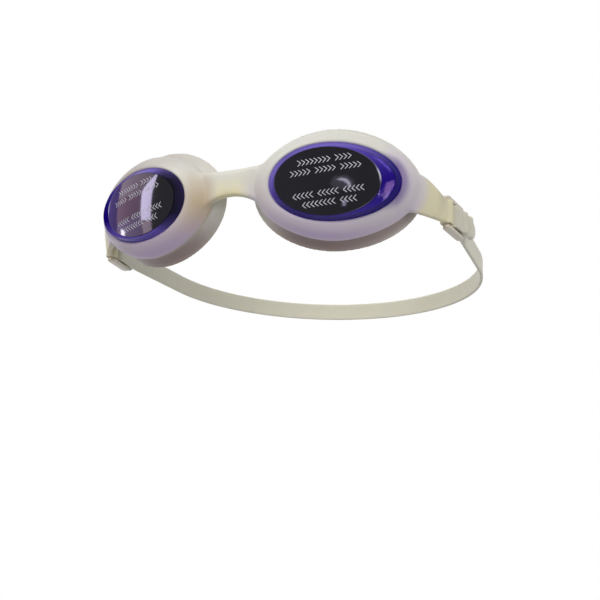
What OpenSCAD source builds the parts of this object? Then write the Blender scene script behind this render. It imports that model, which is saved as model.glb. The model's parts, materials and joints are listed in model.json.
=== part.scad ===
// Swimming goggles, standing on a table: two silicone eye cups with tinted lenses, a nose
// bridge, two side arms, two three-bar buckles and one head strap.
// Millimetres. X runs across the face towards the wearer's left, Y runs back towards the
// head, Z is up. The origin is under the middle of the whole object, on the table.
// "Left" is the wearer's left, on the +X side.

/* [Fit on the face] */
// Half the distance between the two lens centres
lens_x = 44.3; // [41:0.1:47]
// Turn of each eye cup round the face, in degrees
wrap_deg = 15.5; // [10:0.5:20]
// Forward lean of the cups as the goggles stand, in degrees
lean_deg = 5.7; // [4:0.1:9]
// Droop of each cup towards its temple end, in degrees
droop_deg = 1.2; // [0:0.1:3]
// Radius of the curve that the cups follow round the face
face_r = 178; // [150:1:260]

/* [Lens] */
// Half length of the lens where it leaves the silicone
lens_a = 25.7; // [24:0.1:27]
// Half height of the lens where it leaves the silicone
lens_b = 15.4; // [14:0.1:16.4]
// Share by which the lens narrows towards the temple
lens_taper = 0.05; // [0:0.01:0.08]
// Width of the bevel at the ends of the front face
bevel_w = 2.2; // [1.6:0.1:3]
// Width of the bevel above and below the front face
bevel_h = 1.8; // [1.4:0.1:2.4]
// Distance of the front face's centre below the lens centre
face_drop = 0.5; // [0:0.1:0.8]
// Height of the front face above the silicone
lens_proud = 2.8; // [2.2:0.1:3.4]
// Extra rise of the front face at its centre
lens_dome = 1; // [0.6:0.1:1.6]
// Wall thickness of the lens
lens_t = 1.5; // [1.2:0.1:1.8]
// Width of the lens flange that the silicone holds
lens_flange_w = 3; // [2:0.1:3.4]
// Thickness of the lens flange
lens_flange_t = 1.3; // [1:0.1:1.6]

/* [Protective film] */
// Bare stretch of the front face at its nose end
film_nose = 0.4; // [0.3:0.1:1.2]
// Bare stretch of the front face at its temple end
film_temple = 5.4; // [4:0.1:8]
// Bare edge of the front face above and below the film
film_edge = 0.3; // [0.3:0.1:1.5]
// Thickness of the film
film_t = 0.3; // [0.2:0.05:0.5]
// Clearance between film and lens
film_gap = 0.1; // [0.08:0.01:0.2]

/* [Eye cup] */
// Half length of the front ring
ring_a = 33.8; // [33:0.1:35]
// Half height of the front ring
ring_b = 21.9; // [21:0.1:23]
// Depth of the ring's widest edge behind the lens rim
ring_depth = 6.4; // [5.4:0.1:7]
// Half length of the sealing flange
seal_a = 34.8; // [34.2:0.1:36]
// Half height of the sealing flange
seal_b = 25.2; // [24:0.1:26.5]
// Depth of the sealing flange behind the lens rim
seal_depth = 14.7; // [13:0.1:16]
// Extra depth of the sealing flange at its temple end
seal_wrap = 2.4; // [0:0.1:3]
// Depth of the groove between ring and flange
waist_in = 1.9; // [1:0.1:2.4]
// Wall thickness of the silicone
wall_t = 1.8; // [1.4:0.1:2.2]
// Thickness of the silicone lip in front of the lens flange
lip_t = 1.3; // [1:0.1:1.6]
// Clearance between lens and silicone
lens_gap = 0.1; // [0.05:0.01:0.2]

/* [Nose bridge] */
// Height of the bridge at its middle
bridge_h = 11; // [9:0.1:13]
// Thickness of the bridge at its middle
bridge_t = 4.2; // [3:0.1:5]
// Height of the bridge's centre above the lens centres
bridge_up = 4; // [2:0.1:5]
// Clearance between bridge and cups
bridge_gap = 0.3; // [0.2:0.05:0.5]

/* [Side arm] */
// Height of the arm at the buckle
arm_h = 10; // [8.5:0.1:11]
// Thickness of the arm at the buckle
arm_t = 2.6; // [2:0.1:2.7]
// Distance of the buckle's front bar from the middle plane
bar_x = 80.8; // [79:0.1:83]
// Distance of the buckle's front bar behind the lens centres
bar_y = 31; // [28:0.1:34]
// Height of the front bar's middle below the lens centres
bar_drop = 7.4; // [6:0.1:8.5]
// Wall of the eyelet round the front bar
eyelet_wall = 1.3; // [1:0.1:1.6]
// Clearance between arm and cup
arm_gap = 0.3; // [0.2:0.05:0.5]

/* [Buckle] */
// Outward turn of the buckle, in degrees
buckle_deg = 9; // [4:0.5:12]
// Radius of the front bar
pin_r = 1.3; // [1:0.05:1.5]
// Running clearance of the eyelet on the front bar
pin_gap = 0.05; // [0.03:0.01:0.1]
// Radius of the middle and rear bars
bar_r = 1.05; // [0.8:0.05:1.2]
// Distance from the front bar to the middle bar
mid_y = 6.5; // [6.2:0.1:8]
// Distance from the front bar to the rear bar
rear_y = 13.5; // [13:0.1:15]
// Thickness of the side rails, up and down
rail_h = 1.6; // [1.2:0.1:2.4]
// Width of the side rails, across
rail_w = 3.2; // [2.9:0.1:4]
// Clearance between the eyelet and the rails
rail_gap = 0.3; // [0.2:0.05:0.5]

/* [Head strap] */
// Width of the strap
strap_w = 9.5; // [8:0.1:10.5]
// Thickness of the strap
strap_t = 1.6; // [1.2:0.1:1.8]
// Clearance between the strap and the bars
strap_gap = 0.1; // [0.05:0.01:0.2]
// Distance from the front bar to the end of the loose tail
tail_y = 26; // [22:0.5:28]
// Radius of the bend behind the buckle
bend_r = 50; // [40:1:80]
// Distance from the front bar to where the loop starts
loop_y = 52; // [48:0.5:56]
// Distance from the front bar to where the round back starts
round_y = 64; // [58:0.5:90]

/* [Hidden] */
$fn = 48;

// Outline exponents: 2 is an ellipse, less is pointed towards the ends
lens_n = 2;
ring_n = 1.8;
seal_n = 1.94;
// The ring and flange narrow a little towards the temple too
ring_taper = 0.02;
// Points round each outline
around = 64;
// Rings of points across the lens face
face_rings = 6;
// Points down each side of an arm's or the bridge's section
side_pts = 8;
// How much the lens cavity narrows towards the front
inner_draft = 0.3;
// Half thickness of the rounded top and bottom edges of the bridge and the arms
edge_half = 0.25;

face_a = lens_a - bevel_w;
face_b = lens_b - bevel_h;
film_a = face_a - (film_nose + film_temple) / 2;
film_b = face_b - film_edge;
film_shift = (film_temple - film_nose) / 2;
flange_front = lip_t + lens_gap;
flange_back = flange_front + lens_flange_t;
pocket_back = flange_back + lens_gap;
pocket_a = lens_a + lens_flange_w + lens_gap;
pocket_b = lens_b + lens_flange_w + lens_gap;

function mix(a, b, s) = a + (b - a) * s;
function ease(s) = s * s * (3 - 2 * s);
function power(c, e) = sign(c) * pow(abs(c), e);

// A point on an outline [half length, half height, exponent, depth, taper, wrap] at angle t, in
// the cup's own frame: X towards the temple, Y back, Z up. The depth follows the face's curve,
// and wrap is what it gains at the temple end.
function outline_pt(o, t, grow = 0) =
    let (x = power(cos(t), 2 / o[2]))
    let (y = power(sin(t), 2 / o[2]))
    let (u = (o[0] + grow) * x)
    let (v = (o[1] + grow) * y * (1 - o[4] * x))
    let (side = max(0, x))
    [u, o[3] + u * u / (2 * face_r) + o[5] * side * side, v];

function turn_x(p, a) = [p.x, p.y * cos(a) - p.z * sin(a), p.y * sin(a) + p.z * cos(a)];
function turn_y(p, a) = [p.x * cos(a) + p.z * sin(a), p.y, -p.x * sin(a) + p.z * cos(a)];
function turn_z(p, a) = [p.x * cos(a) - p.y * sin(a), p.x * sin(a) + p.y * cos(a), p.z];
// From the left cup's frame to the face's frame, whose origin is midway between the lenses
function on_face(p) =
    turn_z(turn_x(turn_y(p, droop_deg), lean_deg), wrap_deg) + [lens_x, 0, 0];

// The silicone cup's section, as outlines round a closed loop
lip_a = lens_a + lens_gap;
lip_b = lens_b + lens_gap;
crest_w = 1.1;
crest_rise = 0.3;
edge_round = 0.35;
edge_back = 1.7;
roll_w = 0.5;
roll_h = 0.8;
waist_a = ring_a - waist_in;
waist_b = ring_b - waist_in * 0.6;
waist_depth = mix(ring_depth, seal_depth, 0.36);
shoulder_t = 1;
shoulder_in = 0.9;
function held(a, b, depth) = [a, b, lens_n, depth, lens_taper, 0];
function ringed(inset, depth) = [ring_a - inset, ring_b - inset, ring_n, depth, ring_taper, 0];
function sealed(inset, depth) = [seal_a - inset, seal_b - inset, seal_n, depth, ring_taper, seal_wrap];
function between(o, p, s, depth) =
    [for (k = [0:5]) k == 3 ? depth : mix(o[k], p[k], s)];
lip = held(lip_a, lip_b, 0.1);
ring = ringed(0, ring_depth);
waist = [waist_a, waist_b, ring_n, waist_depth, ring_taper, seal_wrap * 0.3];
seal = sealed(0, seal_depth - roll_h);
ring_front = between(lip, ring, 0.86, ring_depth * 0.62);
ring_under = ringed(edge_round, ring_depth + edge_back);
inner_waist = [waist_a - wall_t, waist_b - wall_t, ring_n, waist_depth, ring_taper, waist[5]];
inner_seal = sealed(wall_t, seal_depth - roll_h);
shoulder_a = lip_a + shoulder_in;
shoulder_b = lip_b + shoulder_in;
CUP = [
    held(lip_a, lip_b, lip_t),
    lip,
    held(lip_a + crest_w, lip_b + crest_w, -crest_rise),
    between(lip, ring, 0.4, ring_depth * 0.1),
    between(lip, ring, 0.65, ring_depth * 0.34),
    ring_front,
    between(lip, ring, 0.96, ring_depth * 0.82),
    ring,
    ring_under,
    waist,
    between(waist, seal, 0.35, mix(waist_depth, seal_depth, 0.4)),
    between(waist, seal, 0.8, mix(waist_depth, seal_depth, 0.75)),
    seal,
    sealed(roll_w, seal_depth),
    inner_seal,
    between(inner_waist, inner_seal, 0.4, mix(waist_depth, seal_depth, 0.45)),
    inner_waist,
    held(shoulder_a + 1, shoulder_b + 1, pocket_back + shoulder_t + 0.4),
    held(shoulder_a, shoulder_b, pocket_back + shoulder_t),
    held(shoulder_a, shoulder_b, pocket_back),
    held(pocket_a, pocket_b, pocket_back),
    held(pocket_a, pocket_b, lip_t)
];

// A closed tube of outlines, each row joined to the next and the last to the first
module ring_of_outlines(rows) {
    count = len(rows);
    points = [for (o = rows) for (i = [0:around - 1]) outline_pt(o, i * 360 / around)];
    faces = [
        for (r = [0:count - 1]) for (i = [0:around - 1])
            let (j = (i + 1) % around)
            let (q = (r + 1) % count)
            each [
                [r * around + i, r * around + j, q * around + j],
                [r * around + i, q * around + j, q * around + i]
            ]
    ];
    polyhedron(points, faces);
}

module on_left_cup() {
    translate([lens_x, 0, 0])
        rotate([0, 0, wrap_deg])
        rotate([lean_deg, 0, 0])
        rotate([0, droop_deg, 0])
        children();
}

// Depth of the lens front face at (u, v) from the face's own centre, without the face's curve
function face_depth(u, v) =
    -lens_proud - lens_dome * (1 - u * u / (face_a * face_a) - v * v / (face_b * face_b));
// A point of the front face, set back by sink, in the cup's frame
function face_pt(u, v, sink) =
    [u, face_depth(u, v) + sink + u * u / (2 * face_r), v - face_drop];

// A closed dish: rows of outlines from the front pole to the back pole
module dish(rows, front, back) {
    count = len(rows);
    points = concat([for (row = rows) each row], [front, back]);
    front_pole = count * around;
    back_pole = front_pole + 1;
    last = (count - 1) * around;
    faces = [
        for (i = [0:around - 1])
            let (j = (i + 1) % around)
            each concat(
                [[front_pole, j, i]],
                [for (r = [0:count - 2]) each [
                    [r * around + i, r * around + j, (r + 1) * around + j],
                    [r * around + i, (r + 1) * around + j, (r + 1) * around + i]
                ]],
                [[back_pole, last + i, last + j]]
            )
    ];
    polyhedron(points, faces);
}

face_outline = held(face_a, face_b, 0);
function face_row(share, sink) = [
    for (i = [0:around - 1])
        let (p = outline_pt(face_outline, i * 360 / around) * share)
        face_pt(p.x, p.z, sink)
];
function lens_row(a, b, depth) = [
    for (i = [0:around - 1]) outline_pt(held(a, b, depth), i * 360 / around)
];
lens_rows = concat(
    [for (k = [1:face_rings]) face_row(k / face_rings, 0)],
    [
        lens_row(lens_a, lens_b, 0),
        lens_row(lens_a, lens_b, flange_front),
        lens_row(lens_a + lens_flange_w, lens_b + lens_flange_w, flange_front),
        lens_row(lens_a + lens_flange_w, lens_b + lens_flange_w, flange_back),
        lens_row(lens_a - lens_t, lens_b - lens_t, flange_back),
        lens_row(lens_a - lens_t - inner_draft, lens_b - lens_t - inner_draft, lens_t / 2)
    ],
    [for (k = [face_rings - 1:-1:1]) face_row(k / face_rings, lens_t)]
);
module lens() {
    color([0.22, 0.14, 0.55])
        dish(lens_rows, face_pt(0, 0, 0), face_pt(0, 0, lens_t));
}

// The film lies on the front face, film_gap above it, a little towards the nose
film_outline = [film_a, film_b, lens_n, 0, 0, 0];
function film_row(share, rise) = [
    for (i = [0:around - 1])
        let (p = outline_pt(film_outline, i * 360 / around) * share)
        face_pt(p.x - film_shift, p.z, -rise)
];
film_top = film_gap + film_t;
film_rows = concat(
    [for (k = [1:face_rings]) film_row(k / face_rings, film_top)],
    [for (k = [face_rings:-1:1]) film_row(k / face_rings, film_gap)]
);
module film() {
    color([0.1, 0.1, 0.13])
        dish(film_rows, face_pt(-film_shift, 0, -film_top), face_pt(-film_shift, 0, -film_gap));
}

// A loft through closed loops of points, capped across from its front chain to its back chain
module loft(loops) {
    size = len(loops[0]);
    count = len(loops);
    half = size / 2;
    last = (count - 1) * size;
    points = [for (loop = loops) each loop];
    sides = [
        for (r = [0:count - 2]) for (i = [0:size - 1])
            let (j = (i + 1) % size)
            each [
                [r * size + i, (r + 1) * size + j, r * size + j],
                [r * size + i, (r + 1) * size + i, (r + 1) * size + j]
            ]
    ];
    caps = [
        for (i = [0:half - 2])
            let (m = size - 1 - i)
            each [
                [i, i + 1, m],
                [i + 1, m - 1, m],
                [last + i, last + m, last + i + 1],
                [last + i + 1, last + m, last + m - 1]
            ]
    ];
    polyhedron(points, concat(sides, caps));
}

// Angle on an outline at which it stands v above the cup's centre line
function angle_at(o, v) = sign(v) * asin(pow(min(1, abs(v) / o[1]), o[2] / 2));
// A chain of points down a cup's side, on outline o from height top to height low
function chain(o, top, low, temple, grow) = [
    for (i = [0:side_pts - 1])
        let (a = angle_at(o, mix(top, low, i / (side_pts - 1))))
        on_face(outline_pt(o, temple ? a : 180 - a, grow))
];
// A closed loop on a cup's side: down in front of the ring's widest edge and up behind it
seam_front = ringed(0, ring_front[3]);
seam_back = ringed(0, ring_under[3]);
function side_loop(top, low, temple, gap) = concat(
    chain(seam_front, top, low, temple, gap),
    [for (i = [side_pts - 1:-1:0]) chain(seam_back, top, low, temple, gap)[i]]
);
// A rounded section with its two chains, h high and t thick, about the origin in Y and Z
function section(h, t) = concat(
    [for (i = [0:side_pts - 1]) section_pt(h, -t, i)],
    [for (i = [side_pts - 1:-1:0]) section_pt(h, t, i)]
);
function section_pt(h, t, i) =
    let (k = 1 - 2 * i / (side_pts - 1))
    [0, t / 2 * pow(1 - pow(abs(k), 3), 1 / 3) + sign(t) * edge_half, h / 2 * k];

// Nose bridge: a loft from cup to cup, narrowest at the middle
bridge_rise = 0.8;
bridge_fall = 6.5;
bridge_top = bridge_up + bridge_h / 2 + bridge_rise;
bridge_low = bridge_up - bridge_h / 2 - bridge_fall;
bridge_y = -1.6;
bridge_steps = 8;
bridge_end = side_loop(bridge_top, bridge_low, false, bridge_gap);
bridge_mid = [for (p = section(bridge_h, bridge_t)) p + [0, bridge_y, bridge_up]];
function across(loop) = [for (p = loop) [-p.x, p.y, p.z]];
function bridge_loop(s) =
    let (far = s < 0 ? across(bridge_end) : bridge_end)
    let (k = abs(s))
    [for (i = [0:len(far) - 1]) let (m = bridge_mid[i]) let (e = far[i])
        [e.x * k, mix(m.y, e.y, k * k), mix(m.z, e.z, pow(k, 2.4))]];
module nose_bridge() {
    color([0.84, 0.84, 0.77])
        stand() loft([for (i = [-bridge_steps:bridge_steps]) bridge_loop(i / bridge_steps)]);
}

module eye_cup_left() {
    color([0.83, 0.82, 0.79]) stand() on_left_cup() ring_of_outlines(CUP);
}
module eye_cup_right() {
    mirror([1, 0, 0]) eye_cup_left();
}
module lens_left() {
    stand() on_left_cup() lens();
}
module lens_right() {
    mirror([1, 0, 0]) lens_left();
}
module film_left() {
    stand() on_left_cup() film();
}
module film_right() {
    mirror([1, 0, 0]) film_left();
}

// The strap's frame starts at the middle of the left front bar's height, above the middle
// plane, and slopes down to the back until the strap's rear edge meets the table
table_z = min([for (o = CUP) for (i = [0:around - 1]) on_face(outline_pt(o, i * 360 / around)).z]);
tail_side = bar_r + strap_gap + strap_t / 2;
function on_buckle(p) = turn_z(p, -buckle_deg) + [bar_x, 0, 0];
run_past = 1.7;
run_y = rear_y + rail_w / 2 + run_past;
run_end = on_buckle([-tail_side, run_y, 0]);
bend_mid = run_end - bend_r * [cos(buckle_deg), -sin(buckle_deg), 0];
strap_x = bend_mid.x + bend_r;
rear_reach = round_y + strap_x + strap_t / 2;
rear_span = sqrt(rear_reach * rear_reach + strap_w * strap_w / 4);
slope_deg = asin((-bar_drop - table_z) / rear_span) - atan2(strap_w / 2, rear_reach);
function on_strap(p) = turn_x(p, -slope_deg) + [0, bar_y, -bar_drop];

// The whole object is moved so that the origin is under its middle, on the table
front_y = min([for (row = film_rows) for (p = row) on_face(p).y]);
back_y = on_strap([0, rear_reach, strap_w / 2]).y;
shift_y = -(front_y + back_y) / 2;
module stand() {
    translate([0, shift_y, -table_z]) children();
}
module on_strap_frame() {
    stand() translate([0, bar_y, -bar_drop]) rotate([-slope_deg, 0, 0]) children();
}
module on_buckle_frame() {
    on_strap_frame() translate([bar_x, 0, 0]) rotate([0, 0, -buckle_deg]) children();
}

// Side arm: a loft from the cup's temple end to the eyelet, which turns on the front bar
eyelet_bore = pin_r + pin_gap;
eyelet_r = eyelet_bore + eyelet_wall;
arm_top = 5.5;
arm_low = -12;
arm_steps = 8;
arm_bow = 1.2;
arm_root = side_loop(arm_top, arm_low, true, arm_gap);
// The arm ends inside the eyelet's wall, clear of its bore
arm_seat = eyelet_bore + eyelet_wall * 0.3;
arm_end = [
    for (p = section(arm_h, arm_t))
        on_strap([bar_x - p.y, -arm_seat, p.z])
];
function arm_loop(s) = [
    for (i = [0:len(arm_root) - 1])
        let (r = arm_root[i])
        let (e = arm_end[i])
        let (bow = arm_bow * 4 * s * (1 - s))
        [mix(r.x, e.x, s) + bow, mix(r.y, e.y, s), mix(r.z, e.z, ease(s))]
];
module side_arm_left() {
    color([0.77, 0.74, 0.62]) {
        difference() {
            union() {
                stand() loft([for (i = [0:arm_steps]) arm_loop(i / arm_steps)]);
                on_strap_frame() translate([bar_x, 0, 0]) cylinder(h = arm_h, r = eyelet_r, center = true);
            }
            on_strap_frame() translate([bar_x, 0, 0]) cylinder(h = arm_h + 2, r = eyelet_bore, center = true);
        }
    }
}
module side_arm_right() {
    mirror([1, 0, 0]) side_arm_left();
}

// Buckle: two side rails joined by three round bars
rail_in = arm_h / 2 + rail_gap;
rail_back = rear_y + 1;
module rail() {
    linear_extrude(rail_h) {
        circle(d = rail_w);
        translate([0, rail_back / 2]) square([rail_w, rail_back], center = true);
        translate([0, rail_back]) circle(d = rail_w);
    }
}
module bar(y, r) {
    translate([0, y, 0]) cylinder(h = 2 * rail_in + rail_h, r = r, center = true);
}
module buckle_left() {
    color([0.82, 0.81, 0.76, 0.7]) on_buckle_frame() {
        translate([0, 0, rail_in]) rail();
        translate([0, 0, -rail_in - rail_h]) rail();
        bar(0, pin_r);
        bar(mid_y, bar_r);
        bar(rear_y, bar_r);
    }
}
module buckle_right() {
    mirror([1, 0, 0]) buckle_left();
}

// Strap: inner run, bend round the middle bar, loose tail, side bend and the loop
lap = 3;
lap_y = mid_y + lap;
module strap_run(x, from, to) {
    translate([x - strap_t / 2, from, -strap_w / 2]) cube([strap_t, to - from, strap_w]);
}
module strap_wrap_left() {
    color([0.83, 0.82, 0.78]) on_buckle_frame() {
        strap_run(-tail_side, mid_y, run_y);
        strap_run(tail_side, mid_y, lap_y);
        translate([0, mid_y, 0])
            rotate([0, 0, 180])
            rotate_extrude(angle = 180)
            translate([tail_side, 0])
            square([strap_t, strap_w], center = true);
    }
}
module strap_wrap_right() {
    mirror([1, 0, 0]) strap_wrap_left();
}
module strap_tail_left() {
    color([0.84, 0.83, 0.79]) on_buckle_frame() {
        strap_run(tail_side, lap_y, tail_y - strap_w / 2);
        translate([tail_side - strap_t / 2, tail_y - strap_w / 2, 0])
            rotate([0, 90, 0])
            cylinder(h = strap_t, r = strap_w / 2);
    }
}
module strap_tail_right() {
    mirror([1, 0, 0]) strap_tail_left();
}
module strap_side_left() {
    color([0.83, 0.82, 0.78]) on_strap_frame() {
        translate([bend_mid.x, bend_mid.y, 0])
            rotate([0, 0, -buckle_deg])
            rotate_extrude(angle = buckle_deg)
            translate([bend_r, 0])
            square([strap_t, strap_w], center = true);
        strap_run(strap_x, bend_mid.y, loop_y);
    }
}
module strap_side_right() {
    mirror([1, 0, 0]) strap_side_left();
}
module head_strap() {
    color([0.83, 0.82, 0.78]) on_strap_frame() {
        strap_run(strap_x, loop_y, round_y);
        strap_run(-strap_x, loop_y, round_y);
        translate([0, round_y, 0])
            rotate_extrude(angle = 180, $fn = 120)
            translate([strap_x, 0])
            square([strap_t, strap_w], center = true);
    }
}

nose_bridge();
eye_cup_left();
eye_cup_right();
side_arm_left();
side_arm_right();
lens_left();
lens_right();
film_left();
film_right();
buckle_left();
buckle_right();
strap_wrap_left();
strap_wrap_right();
strap_tail_left();
strap_tail_right();
strap_side_left();
strap_side_right();
head_strap();
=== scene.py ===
"""Swimming goggles: the finished surfaces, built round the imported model, with studio and camera.

Metres. X runs towards the wearer's left, Y runs back towards the head, Z is up, and the
goggles stand on the table at Z = 0. Shapes are worked out for the left half and mirrored.
"""

import json
import math

import bmesh
import bpy
import numpy as np
from mathutils import Matrix, Vector


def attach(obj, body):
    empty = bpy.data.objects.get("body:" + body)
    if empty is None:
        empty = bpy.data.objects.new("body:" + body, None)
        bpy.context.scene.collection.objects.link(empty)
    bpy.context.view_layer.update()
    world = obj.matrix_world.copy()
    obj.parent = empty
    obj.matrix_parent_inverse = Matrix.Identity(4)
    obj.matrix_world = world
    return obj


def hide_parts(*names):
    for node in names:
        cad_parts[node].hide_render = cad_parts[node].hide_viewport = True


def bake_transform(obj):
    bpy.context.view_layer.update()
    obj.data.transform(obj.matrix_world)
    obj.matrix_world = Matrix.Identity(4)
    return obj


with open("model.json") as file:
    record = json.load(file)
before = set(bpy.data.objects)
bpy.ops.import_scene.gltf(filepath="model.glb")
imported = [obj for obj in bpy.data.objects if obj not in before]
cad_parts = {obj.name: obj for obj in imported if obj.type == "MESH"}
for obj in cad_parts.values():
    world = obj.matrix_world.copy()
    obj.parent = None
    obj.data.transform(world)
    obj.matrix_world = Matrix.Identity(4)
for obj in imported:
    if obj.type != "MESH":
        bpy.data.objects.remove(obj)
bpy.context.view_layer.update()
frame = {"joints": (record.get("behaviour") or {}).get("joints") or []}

bl_info = {
    "name": "Swimming Goggles",
    "version": (1, 0, 0),
    "blender": (4, 5, 0),
    "location": "3D View > Sidebar > Goggles",
    "description": "Builds a pair of silicone swimming goggles with tinted lenses and a studio",
    "category": "Add Mesh",
}

MM = 0.001
JOINTS = {joint["name"]: joint for joint in frame["joints"]}

# Points round a cup and round a lens, and along one side of the loops where bridge and arms begin
CUP_POINTS, LENS_POINTS, ROOT_POINTS = 320, 256, 40

# Voxel sizes at which overlapping shells are melted into one skin
FRAME_VOXEL, BUCKLE_VOXEL = 0.42 * MM, 0.13 * MM

# Smoothing: the step to the neighbours' mean and the step back, and how often and how near a
# seam the fillets are smoothed
STEP_IN, STEP_BACK = 0.5, -0.52
FILLET_ROUNDS, FILLET_REACH = 45, 1.9 * MM

# Places in an outline row [a, b, n, depth, taper, wrap]
ROW_B, ROW_N, ROW_DEPTH, ROW_WRAP = 1, 2, 3, 5

# The cup's front slope from lip to ring, as shares of the way out and of the ring's depth, and
# its flare from groove to flange, as shares of the way out and of the depth between them
FRONT_SLOPE = ((0.4, 0.09), (0.65, 0.31), (0.86, 0.6), (0.965, 0.82))
FLANGE_FLARE = ((0.35, 0.4), (0.8, 0.75), (0.97, 0.9))

# Depth to which the ends of the bridge and the arms sink into the cup
ROOT_SINK = 1.3 * MM

# The eyelet's section with its edges rounded, as shares of its wall and of the arm's height
EYELET_SECTION = np.array(
    [(0, -0.47), (0, 0.47), (0.2, 0.5), (0.8, 0.5), (1, 0.47), (1, -0.47), (0.8, -0.5), (0.2, -0.5)]
)

# Rings of the lens's front, bevel and back and of the film, as shares of the way out. The
# fans at the ends of a shell close the small holes in the middle.
LENS_FRONT, LENS_BACK = np.linspace(0.04, 0.98, 20), np.linspace(0.96, 0.04, 20)
LENS_BEVEL = np.array([0, 0.1, 0.35, 0.65, 0.9, 1])
FILM_FACE = np.append(np.linspace(0.04, 0.96, 22), (0.985, 0.997))

# Step in the buckle's frame from the lap to a second point, giving two points where the tail begins
TAIL_FADE = np.array([4.2, 2.1, 0]) * MM

# Stretches of the strap's side, as distances behind the front bar, and the two bodies named for
# each
STRAP_ZONES = (
    (None, 48 * MM, "buckle_{}", "eye_{}"),
    (48 * MM, 86 * MM, "eye_{}", "bridge"),
    (86 * MM, 116 * MM, "bridge", "strap"),
)

# Rows of printed marks: height in millimetres, places, empty places and direction
PRINT_ROWS = (
    (8.3, 13, (8,), 1),
    (4.5, 17, (5, 11), 1),
    (-4.5, 17, (5, 11), -1),
    (-8.2, 13, (8,), -1),
)

# Gap below the ink, its thickness, and the rounding of the film's edge
INK_GAP, INK_THICK, FILM_ROUND = 0.01 * MM, 0.035 * MM, 0.06 * MM

# Where the film's edge catches light: angle from its temple end, width in radians and strength
FILM_GLINTS = ((0.18, 0.26, 1), (0.75, 0.4, 0.3), (-0.95, 0.35, 0.3))

# Rounded edge of a flat piece: share drawn in and rise from the face, as shares of its radius
EDGE_PROFILE = ((1, 0), (0.3, 0.3), (0, 1))


def length(name, description, default_mm):
    """A length property, given in millimetres."""
    return bpy.props.FloatProperty(
        name=name, description=description, default=default_mm * MM, unit="LENGTH", precision=5
    )


def angle(name, description, degrees):
    """An angle property, given in degrees."""
    return bpy.props.FloatProperty(
        name=name, description=description, default=math.radians(degrees), unit="ROTATION"
    )


def share(name, description, default):
    """A plain number property."""
    return bpy.props.FloatProperty(name=name, description=description, default=default)


def colour(name, description, red, green, blue):
    """A colour property, given as 0 to 255 screen values."""
    linear = [((c / 255 + 0.055) / 1.055) ** 2.4 for c in (red, green, blue)]
    return bpy.props.FloatVectorProperty(
        name=name, description=description, default=linear, subtype="COLOR", size=3, min=0, max=1
    )


class GogglesCupSizes(bpy.types.PropertyGroup):
    """Sizes of the lenses and eye cups"""

    lens_x: length("Lens centre", "Distance of each lens centre from the middle plane", 44.3)
    wrap: angle("Wrap", "Turn of each cup round the face", 15.5)
    lean: angle("Lean", "Forward lean of the cups as the goggles stand", 5.7)
    droop: angle("Droop", "Droop of each cup towards its temple end", 1.2)
    face_r: length("Face curve", "Radius of the curve that the cups follow", 178)
    flex_x: length("Flex line", "Distance of the flex line from the middle plane", 9.5)
    flex_y: length("Flex line depth", "Distance of the flex line behind the lens centres", -0.5)
    lens_a: length("Lens half length", "Half length of the lens at the silicone", 25.7)
    lens_b: length("Lens half height", "Half height of the lens at the silicone", 15.4)
    lens_taper: share("Lens taper", "Share by which the lens narrows to the temple", 0.05)
    bevel_w: length("Bevel width", "Width of the bevel at the ends of the front face", 2.2)
    bevel_h: length("Bevel height", "Width of the bevel above and below the front face", 1.8)
    face_drop: length("Face drop", "Distance of the front face's centre below the lens centre", 0.5)
    lens_proud: length("Lens rise", "Height of the front face above the silicone", 2.8)
    lens_dome: length("Lens dome", "Extra rise of the front face at its centre", 1.0)
    lens_wall: length("Lens wall", "Wall thickness of the lens", 1.5)
    lens_foot: length("Lens foot", "Depth of the lens wall inside the silicone", 3.3)
    ring_a: length("Ring half length", "Half length of the front ring", 33.8)
    ring_b: length("Ring half height", "Half height of the front ring", 21.9)
    ring_depth: length("Ring depth", "Depth of the ring's widest edge", 6.4)
    ring_back: length("Ring edge", "Depth of the ring's straight edge", 1.7)
    seal_a: length("Seal half length", "Half length of the sealing flange", 34.8)
    seal_b: length("Seal half height", "Half height of the sealing flange", 25.2)
    seal_depth: length("Seal depth", "Depth of the sealing flange", 14.7)
    seal_wrap: length("Seal wrap", "Extra depth of the flange at its temple end", 2.4)
    waist_in: length("Waist", "Depth of the groove between ring and flange", 1.9)
    wall: length("Silicone wall", "Wall thickness of the silicone", 1.8)
    crest_w: length("Lip width", "Distance of the lip's crest from the lens", 1.1)
    crest: length("Lip rise", "Height of the silicone lip's crest round the lens", 0.3)
    shoulder: length("Shoulder", "Depth of the silicone shoulder behind the lens", 3.8)


class GogglesFilmSizes(bpy.types.PropertyGroup):
    """Sizes of the protective films and their printed marks"""

    nose: length("Nose margin", "Bare stretch of the lens at the film's nose end", 0.4)
    temple: length("Temple margin", "Bare stretch of the lens at the film's temple end", 5.4)
    edge: length("Edge margin", "Bare edge above and below the film", 0.3)
    thick: length("Film thickness", "Thickness of the film", 0.3)
    gap: length("Film gap", "Clearance between film and lens", 0.1)
    tilt: angle("Print tilt", "Turn of the printed rows on the film", 8)
    mark_w: length("Mark width", "Width of one printed mark", 1.25)
    mark_h: length("Mark height", "Height of one printed mark", 2.3)
    mark_pitch: length("Mark pitch", "Distance from mark to mark", 1.62)
    stroke: length("Stroke", "Stroke width of a printed mark", 0.42)


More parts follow.
